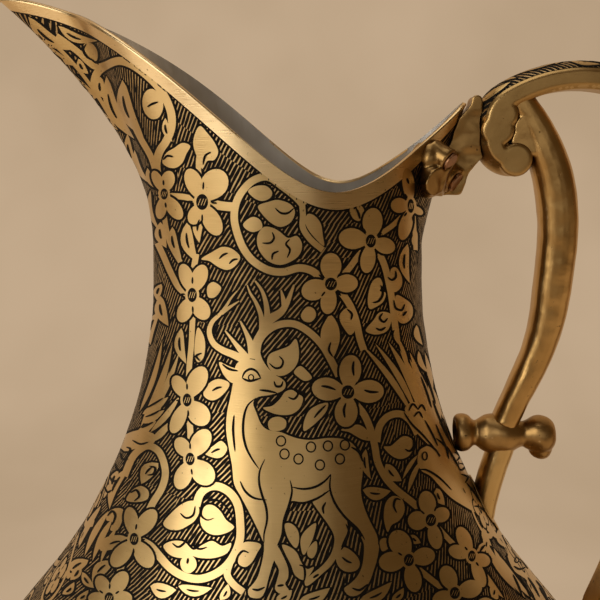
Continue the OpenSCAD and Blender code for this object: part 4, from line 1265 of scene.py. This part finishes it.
def worn_casting(name, forms, finish, nodes, voxel, rounds, uneven=0.0):
    """Fuses closed forms into one skin, rounds its edges over and makes its faces slightly uneven."""
    points, faces = [], []
    for form_points, form_faces in forms:
        faces += [[len(points) + i for i in face] for face in form_faces]
        points += [[c * MM for c in p] for p in form_points]
    rough_mesh = bpy.data.meshes.new(name + "_rough")
    rough_mesh.from_pydata(points, [], faces)
    rough = placed(name + "_rough", rough_mesh)
    fuse = rough.modifiers.new("fuse", "REMESH")
    fuse.mode = "VOXEL"
    fuse.voxel_size = voxel * MM
    ease = rough.modifiers.new("ease", "SMOOTH")
    ease.factor = 0.5
    ease.iterations = rounds
    skin = bpy.data.meshes.new_from_object(rough.evaluated_get(bpy.context.evaluated_depsgraph_get()))
    bpy.data.objects.remove(rough)
    made = []
    for vertex in skin.vertices:
        p = vertex.co / MM
        swell = uneven * (noise.noise(p * 0.22) - 0.35)
        made.append(p + vertex.normal * min(swell, 0))
    quads = [tuple(face.vertices) for face in skin.polygons]
    make_piece(name, np.array(made), quads, [finish], nodes)


BRACKET_BRASS = cast_brass("bracket_brass", BRACKET_LIGHT, BRACKET_DEEP, rough=0.30)
BOSS_MASSES = [((42.6, 10.2, 314.2), (4.4, 6.2, 6.4)), ((42.2, 10.4, 319.2), (4.0, 5.2, 5.4))]
bracket_lumps = [cad_shape("neck_bracket")]
for side in (-1, 1):
    bracket_lumps += [lump((x, side * y, z), radii) for (x, y, z), radii in BOSS_MASSES]
worn_casting(
    "bracket_casting", bracket_lumps, BRACKET_BRASS, ("neck_bracket",),
    voxel=0.3, rounds=17, uneven=0.5,
)

# The neck rivets: four copper pins put through the bosses of the bracket and the wall of the neck. Their heads are
# hammered to low domes.
COPPER_LIGHT = (0.50, 0.27, 0.145, 1)
COPPER_DEEP = (0.26, 0.130, 0.060, 1)


def hammered_copper():
    copper = Finish("hammered_copper")
    dents = copper.node("ShaderNodeTexVoronoi", {"feature": "SMOOTH_F1"}, {"Vector": copper.place, "Scale": 900.0})
    cloud = copper.noise(260.0, 3.0).step(0.35, 0.65)
    copper.coat(
        Base_Color=copper.blend(cloud, COPPER_DEEP, COPPER_LIGHT),
        Metallic=1.0,
        Roughness=0.34 + cloud * 0.14,
    )
    copper.bump(dents, 0.35, 0.0004)
    return copper.material


COPPER = hammered_copper()
worn_casting(
    "neck_rivet_heads", [cad_shape("neck_rivets")], COPPER, ("neck_rivets",),
    voxel=0.16, rounds=6,
)

# The handle strap: a cast bar with flat sides, a domed outer face and bevelled inner edges. Its root turns down
# against the bracket and ends in a fat bead, and its foot kicks out along the belly.
STRAP_W = 13.0
STRAP_T = 6.4
DOME = 2.2
STRAP_SINK = 0.31
EDGE_DROP = 1.0
STRAP_BEVEL = 1.3
BEAD_R = 5.0
WEB_R = 4.9
WEB_AT = (62.8, 328.0)
ROOT_FILL_R = 4.4
ROOT_FILL_AT = (64.2, 332.2)
SIDE_SINK = 0.06
DOME_SHARE = 0.97
STRAP_HALF = STRAP_W / 2 - SIDE_SINK
STRAP_LIGHT = (0.64, 0.42, 0.165, 1)
STRAP_DEEP = (0.40, 0.245, 0.085, 1)
TOE_R = 3.6
STRAP_START = (68.4, 319.3, 180.0)
CROWN_STEPS = [(0, 0, 0.4, 2), (6.2, -90, 0, 24), (0, 0, 5.0, 10), (7.3, -58, 0, 16), (40.5, -122, 0, 120)]
FOOT_OUT = 2.1
FOOT_RISE = 18.4
STRAP_PAD_Z = WAIST_Z - 140.0
FLICK_R = 18.0
TOE_KICK = 3.2
TOE_RUN = 9.0


def walk(pose, radius, turn, run, count):
    """Poses along one stretch of the strap's path: a straight run, or an arc that bends by turn degrees."""
    x, z, heading = pose
    out = []
    for k in range(1, count + 1):
        f = k / count
        if turn == 0:
            h = math.radians(heading)
            out.append((x + f * run * math.cos(h), z + f * run * math.sin(h), heading))
        else:
            sign = 1 if turn > 0 else -1
            side = math.radians(heading + sign * 90)
            end = math.radians(heading - sign * 90 + f * turn)
            centre = (x + radius * math.cos(side), z + radius * math.sin(side))
            out.append((centre[0] + radius * math.cos(end), centre[1] + radius * math.sin(end), heading + f * turn))
    return out


strap_poses = [STRAP_START]
for radius, turn, run, count in CROWN_STEPS:
    strap_poses += walk(strap_poses[-1], radius, turn, run, count)
crown_x, crown_z, crown_heading = strap_poses[-1]
pad_radius = float(body_radius(0.0, STRAP_PAD_Z))
back_x = pad_radius + FOOT_OUT - crown_x
back_z = STRAP_PAD_Z + FOOT_RISE - crown_z
back_bend = 2 * (math.degrees(math.atan2(back_z, back_x)) - crown_heading)
back_radius = math.hypot(back_x, back_z) / (2 * math.sin(abs(math.radians(back_bend)) / 2))
strap_poses += walk(strap_poses[-1], back_radius, back_bend, 0, 120)
pad_lean = math.degrees(math.atan2(float(body_radius(0.0, STRAP_PAD_Z - 1) - body_radius(0.0, STRAP_PAD_Z + 1)), 2))
strap_poses += walk(strap_poses[-1], FLICK_R, pad_lean + TOE_KICK - 90 - crown_heading - back_bend, 0, 24)
strap_poses += walk(strap_poses[-1], 0, 0, TOE_RUN, 12)
strap_poses = np.array(strap_poses)
strap_run = length_along(strap_poses[:, 0], strap_poses[:, 1])


def strap_at(along, across, out):
    """A point of the strap: along its path, across its width and outwards from its middle line."""
    x = np.interp(along, strap_run, strap_poses[:, 0])
    z = np.interp(along, strap_run, strap_poses[:, 1])
    h = np.radians(np.interp(along, strap_run, strap_poses[:, 2]))
    return np.stack([x - np.sin(h) * out, across + 0 * x, z + np.cos(h) * out], -1)


def dome_out(share):
    """How far the domed face lies out from the middle line, at a share of the half width."""
    return STRAP_T / 2 + DOME - STRAP_SINK - (DOME + EDGE_DROP) * share ** 2


def swept_faces(rows, count):
    """The faces of a bar of this many sections, closed at both ends."""
    last = (rows - 1) * count
    return ring_faces(rows, count) + [tuple(range(count))[::-1], tuple(last + i for i in range(count))]


def strap_form():
    """The closed form of the bar, with its section set out along the path."""
    half_w, half_t = STRAP_HALF, STRAP_T / 2
    dome = [(q * half_w, dome_out(q)) for q in np.linspace(DOME_SHARE, -DOME_SHARE, 15)]
    section = [(half_w, 0.0), (half_w, half_t - EDGE_DROP - 0.2)] + dome + [
        (-half_w, half_t - EDGE_DROP - 0.2), (-half_w, 0.0), (-half_w, STRAP_BEVEL - half_t),
        (STRAP_BEVEL - half_w, -half_t), (0.0, -half_t),
        (half_w - STRAP_BEVEL, -half_t), (half_w, STRAP_BEVEL - half_t),
    ]
    rings = [list(strap_at(s, a, o)) for s in strap_run for a, o in section]
    return rings, swept_faces(len(strap_run), len(section))


def roller(x, z, r, half_w):
    """A closed roller across the strap with eased rims."""
    ease = STRAP_BEVEL * 0.8
    outline = [
        (0, -half_w), (r - ease, -half_w), (r - 0.3 * ease, 0.3 * ease - half_w), (r, ease - half_w),
        (r, half_w - ease), (r - 0.3 * ease, half_w - 0.3 * ease), (r - ease, half_w), (0, half_w),
    ]
    return turned(outline, lambda along, one, two: [x + two, along, z + one])


STRAP_BRASS = cast_brass("strap_brass", STRAP_LIGHT, STRAP_DEEP, rough=0.34)
strap_forms = [
    strap_form(),
    roller(STRAP_START[0], STRAP_START[1], BEAD_R, STRAP_HALF),
    roller(*WEB_AT, WEB_R, STRAP_HALF),
    roller(*ROOT_FILL_AT, ROOT_FILL_R, STRAP_HALF),
    roller(strap_poses[-1][0], strap_poses[-1][1], TOE_R, STRAP_HALF),
]
worn_casting(
    "strap_casting", strap_forms, STRAP_BRASS, ("handle_strap",),
    voxel=0.36, rounds=3, uneven=0.05,
)

# The engraving of the strap: a band of leaves on a hatched ground along the domed face, between two plain edges. The
# lines are cut and filled with black as on the body.
BAND_START = 16.0
BAND_STOP = 250.0
BAND_HALF_W = 5.4
BAND_LIFT = 0.10
BAND_SUNK = -0.05
BAND_ROWS = 340
BAND_COLUMNS = 9
BAND_LEAN = math.radians(38)
BAND_PX = 0.26
SWING_MM = 2.1
SWING_LENGTH = 24.0


def lay_on_strap(spots, lifts):
    """Lays a flat strip of millimetres along the domed face of the strap."""
    along, across = spots[:, 0], spots[:, 1]
    half_w = STRAP_W / 2

    def dome_at(s, q):
        return strap_at(s, q, dome_out(q / half_w))

    ahead = dome_at(along + 0.2, across) - dome_at(along - 0.2, across)
    aside = dome_at(along, across + 0.1) - dome_at(along, across - 0.1)
    normals = np.cross(ahead, aside)
    normals /= np.linalg.norm(normals, axis=1, keepdims=True)
    normals *= np.sign((normals * (strap_at(along, across, 2.0) - strap_at(along, across, 1.0))).sum(1))[:, None]
    return dome_at(along, across) + normals * (lifts + BAND_LIFT)[:, None], normals


band_along = np.linspace(BAND_START, BAND_STOP, BAND_ROWS)
band_across = np.linspace(-BAND_HALF_W, BAND_HALF_W, BAND_COLUMNS)
band_spots = np.array([(s, q) for s in band_along for q in band_across])
band_points, band_normals = lay_on_strap(band_spots, np.full(len(band_spots), BAND_SUNK))
band_faces = []
for i in range(BAND_ROWS - 1):
    for k in range(BAND_COLUMNS - 1):
        corner = BAND_COLUMNS * i + k
        band_faces.append((corner, corner + 1, corner + BAND_COLUMNS + 1, corner + BAND_COLUMNS))
band_faces = outward(band_points, band_faces, band_normals)
band_uv = []
for face in band_faces:
    for i in face:
        along, across = band_spots[i]
        band_uv.append((along * math.cos(BAND_LEAN) + across * math.sin(BAND_LEAN), across))
make_piece("strap_band", band_points, band_faces, [GROUND], normals=band_normals, uv=band_uv)
strap_leaves = Engraving(px=BAND_PX)
band_wave = []
for s in np.arange(BAND_START, BAND_STOP, 3.0):
    band_wave.append((s, SWING_MM * math.sin((s - BAND_START) * 2 * math.pi / SWING_LENGTH)))
strap_leaves.vine(band_wave, 3.6)
for step, s in enumerate(np.arange(BAND_START + 6, BAND_STOP - 8, SWING_LENGTH / 2)):
    side = 1 if step % 2 else -1
    strap_leaves.leaf((s - 4.0, side * 0.4), (s + 3.6, side * 3.9), 2.5, bend=0.18 * side, vein=False)
    strap_leaves.leaf((s + 1.5, side * 0.2), (s + 5.4, side * 3.4), 1.7, bend=-0.15 * side, vein=False)
    strap_leaves.leaf((s - 4.6, -side * 1.2), (s - 7.6, side * 2.6), 1.8, bend=0.1 * side, vein=False)
    strap_leaves.stroke([(s - 2.2, side * 1.3), (s + 0.2, side * 2.3), (s + 2.2, side * 3.2)], 1.6)
strap_leaves.piece("strap_leaves", lay_on_strap, mirrored=False, slot="cast_brass")

# The stay: a rounded cast bar inside the handle, filled in where it meets the strap's root. It is fullest in its upper
# bend and tapers down to the collar, and a flatter lower length goes on from there to the shoulder.
STAY_OUT = [0.665, 0.7855, 0.865, 0.937, 0.983, 1, 0.9855, 0.9566, 0.894, 0.7855, 0.677]
STAY_FALL = [0, 0.078, 0.1415, 0.2166, 0.307, 0.405, 0.532, 0.6537, 0.761, 0.873, 0.985]
STAY_T = [0.74, 0.86, 0.94, 0.985, 1, 0.975, 0.96, 0.885, 0.8, 0.738, 0.69]
STAY_W = [0.86, 0.92, 0.98, 1, 1, 1, 0.98, 0.94, 0.9, 0.85, 0.8]
LOWER_OUT = [0.69, 0.668, 0.64, 0.61, 0.58, 0.555, 0.535]
LOWER_FALL = [1.03, 1.06, 1.1, 1.145, 1.195, 1.25, 1.31]
STAY_FULL_W = 13.0
STAY_FULL_T = 12.0
LOWER_T = 8.2
LOWER_W_SHARE = 0.8
STAY_REACH = 41.5
STAY_TOP = 42.5
STAY_DROP = 102.5
STAY_ROOT = [(71.6, 328.6, 4.4), (70.6, 325.0, 4.0), (73.6, 324.4, 4.2)]
STAY_ROOT_HALF_W = 5.5
STAY_LIGHT = (0.78, 0.51, 0.20, 1)
STAY_DEEP = (0.46, 0.27, 0.09, 1)
LOWER_LIGHT = (0.80, 0.57, 0.25, 1)
LOWER_DEEP = (0.60, 0.39, 0.15, 1)
DRAWN_GRAIN = (300.0, 300.0, 40.0)
BAR_SIDES = 24
BAR_ROUNDNESS = 2.5
BAR_STEPS = 8


def rounded(k):
    """One corner-rounded step round a bar of unit width and thickness."""
    c, d = math.cos(2 * math.pi * k / BAR_SIDES), math.sin(2 * math.pi * k / BAR_SIDES)
    return tuple(0.5 * math.copysign(abs(v) ** (2 / BAR_ROUNDNESS), v) for v in (c, d))


BAR_SECTION = [rounded(k) for k in range(BAR_SIDES)]


def bar_form(outs, falls, widths, thicks):
    """A closed bar swept along its stations."""
    knots = []
    for out, fall, width, thick in zip(outs, falls, widths, thicks):
        knots.append([NECK_R + STAY_REACH * out, WAIST_Z + STAY_TOP - STAY_DROP * fall, width, thick])
    stations = smooth_line(knots, BAR_STEPS)
    rings = []
    for i, (x, z, w, t) in enumerate(stations):
        before, after = stations[max(i - 1, 0)], stations[min(i + 1, len(stations) - 1)]
        d = (after - before)[:2] / np.linalg.norm((after - before)[:2])
        rings += [[x - d[1] * q[1] * t, q[0] * w, z + d[0] * q[1] * t] for q in BAR_SECTION]
    return rings, swept_faces(len(stations), BAR_SIDES)


STAY_BRASS = cast_brass("stay_brass", STAY_LIGHT, STAY_DEEP, rough=0.27, pits=0.5, grain=DRAWN_GRAIN)
LOWER_BRASS = cast_brass("lower_stay_brass", LOWER_LIGHT, LOWER_DEEP, rough=0.26, pits=0.4, grain=DRAWN_GRAIN)
upper_bar = bar_form(STAY_OUT, STAY_FALL, [STAY_FULL_W * w for w in STAY_W], [STAY_FULL_T * t for t in STAY_T])
lower_bar = bar_form(LOWER_OUT, LOWER_FALL, [STAY_FULL_W * LOWER_W_SHARE] * 7, [LOWER_T] * 7)
stay_root = [roller(x, z, r, STAY_ROOT_HALF_W) for x, z, r in STAY_ROOT]
worn_casting(
    "upper_stay_bar", [upper_bar] + stay_root, STAY_BRASS, ("upper_stay",),
    voxel=0.36, rounds=4, uneven=0.14,
)
worn_casting(
    "lower_stay_bar", [lower_bar], LOWER_BRASS, ("lower_stay",),
    voxel=0.3, rounds=4, uneven=0.1,
)

# The collar: a turned and cast brass knop that lies across the stay and hides the joint of its two lengths. It has a
# dished knob towards the neck and a small round tail at the other end.
COLLAR_X = 70.2
COLLAR_Z = WAIST_Z - 62.3
COLLAR_REACH = 16.2
KNOB_R = 6.0
TAIL_OUT = 12.0
TAIL_Z = WAIST_Z - 66.7
TAIL_R = 4.0
COLLAR_LIGHT = (0.64, 0.40, 0.155, 1)
COLLAR_DEEP = (0.32, 0.185, 0.060, 1)
COLLAR_ALONG = [
    -0.74, -0.93, -0.99, -0.95, -0.84, -0.72, -0.63, -0.57, -0.50, -0.38,
    -0.20, 0.0, 0.16, 0.28, 0.36, 0.45, 0.58, 0.72, 0.86, 0.96, 1.0, 1.0,
]
COLLAR_RADII = [
    0, 0.5, 0.74, 0.95, 1.05, 0.98, 0.76, 0.70, 0.82, 1.0,
    1.08, 1.08, 0.98, 0.80, 0.72, 0.82, 0.98, 1.04, 0.95, 0.7, 0.4, 0,
]
COLLAR_BRASS = cast_brass("collar_brass", COLLAR_LIGHT, COLLAR_DEEP, rough=0.33)
collar_line = smooth_line([[KNOB_R * r, COLLAR_REACH * a] for r, a in zip(COLLAR_RADII, COLLAR_ALONG)], 5)
collar_line[:, 0] = np.maximum(collar_line[:, 0], 0)
collar_line = collar_line[[0] + [i for i in range(1, len(collar_line) - 1) if collar_line[i, 0] > 0.05] + [-1]]
collar_form = turned(collar_line.tolist(), lambda along, one, two: [COLLAR_X + along, two, COLLAR_Z + one])
collar_tail = lump((COLLAR_X + TAIL_OUT, 0, TAIL_Z), (TAIL_R, TAIL_R, TAIL_R))
worn_casting(
    "collar_knop", [collar_form, collar_tail], COLLAR_BRASS, ("stay_collar",),
    voxel=0.24, rounds=3, uneven=0.35,
)

# The feet of the handle: two thin leaf-shaped plates sit on the body under the bars, the larger one held by two
# copper rivets.
PLATE_LIGHT = (0.80, 0.56, 0.25, 1)
PLATE_DEEP = (0.55, 0.36, 0.13, 1)
PLATE_KEPT = 0.4
PLATE_BRASS = cast_brass("plate_brass", PLATE_LIGHT, PLATE_DEEP, rough=0.32)


def hammered_down(form):
    """A plate beaten close to the body: its height over the body's surface comes down to the share kept."""
    points, faces = form
    points = np.array(points, float)
    turn = np.arctan2(points[:, 1], points[:, 0])
    out = np.hypot(points[:, 0], points[:, 1])
    base = body_radius(turn, points[:, 2])
    points[:, :2] *= ((base + (out - base) * PLATE_KEPT) / out)[:, None]
    return points.tolist(), faces


worn_casting(
    "stay_foot_leaf", [hammered_down(cad_shape("stay_foot_plate"))], PLATE_BRASS, ("stay_foot_plate",),
    voxel=0.16, rounds=4,
)
worn_casting(
    "strap_foot_leaf", [cad_shape("strap_foot_plate")], PLATE_BRASS, ("strap_foot_plate",),
    voxel=0.22, rounds=4,
)
worn_casting(
    "foot_rivet_heads", [cad_shape("foot_rivets")], COPPER, ("foot_rivets",),
    voxel=0.16, rounds=6,
)

# The foot ring: a ring of turned brass, flared to a flat edge that stands on the table. Its upper edge is soldered to
# the underside of the bowl.
FOOT_R = 55.0
FOOT_H = 17.0
FOOT_T = 2.4
FOOT_RADII = [1, 1, 0.955, 0.915, 0.9, 0.905]
FOOT_HEIGHTS = [0, 0.12, 0.24, 0.5, 0.76, 1]


def turned_brass():
    brass = Finish("turned_brass")
    rings = brass.noise(1.0, 3.0, stretch=(8.0, 8.0, 5200.0))
    brass.coat(Base_Color=brass_tone(brass, rings), Metallic=1.0, Roughness=0.24 + rings * 0.16)
    brass.bump(rings, 0.12, 0.0004)
    return brass.material


foot_outer = smooth_line([[FOOT_R * r, FOOT_H * h] for r, h in zip(FOOT_RADII, FOOT_HEIGHTS)], 6)
foot_outer[:, 1] = np.clip(foot_outer[:, 1], 0, FOOT_H)
foot_outer[:, 0] = np.minimum(foot_outer[:, 0], FOOT_R)
foot_inner = foot_outer[::-1] - [FOOT_T, 0]
foot_line = np.concatenate([foot_outer, foot_inner, foot_outer[:1]])
foot_rings = np.array([[r * math.cos(t), r * math.sin(t), z] for r, z in foot_line for t in even])
make_piece(
    "foot_turning", foot_rings, ring_faces(len(foot_line), EVEN_COLUMNS), [turned_brass()],
    ("foot_ring",),
)
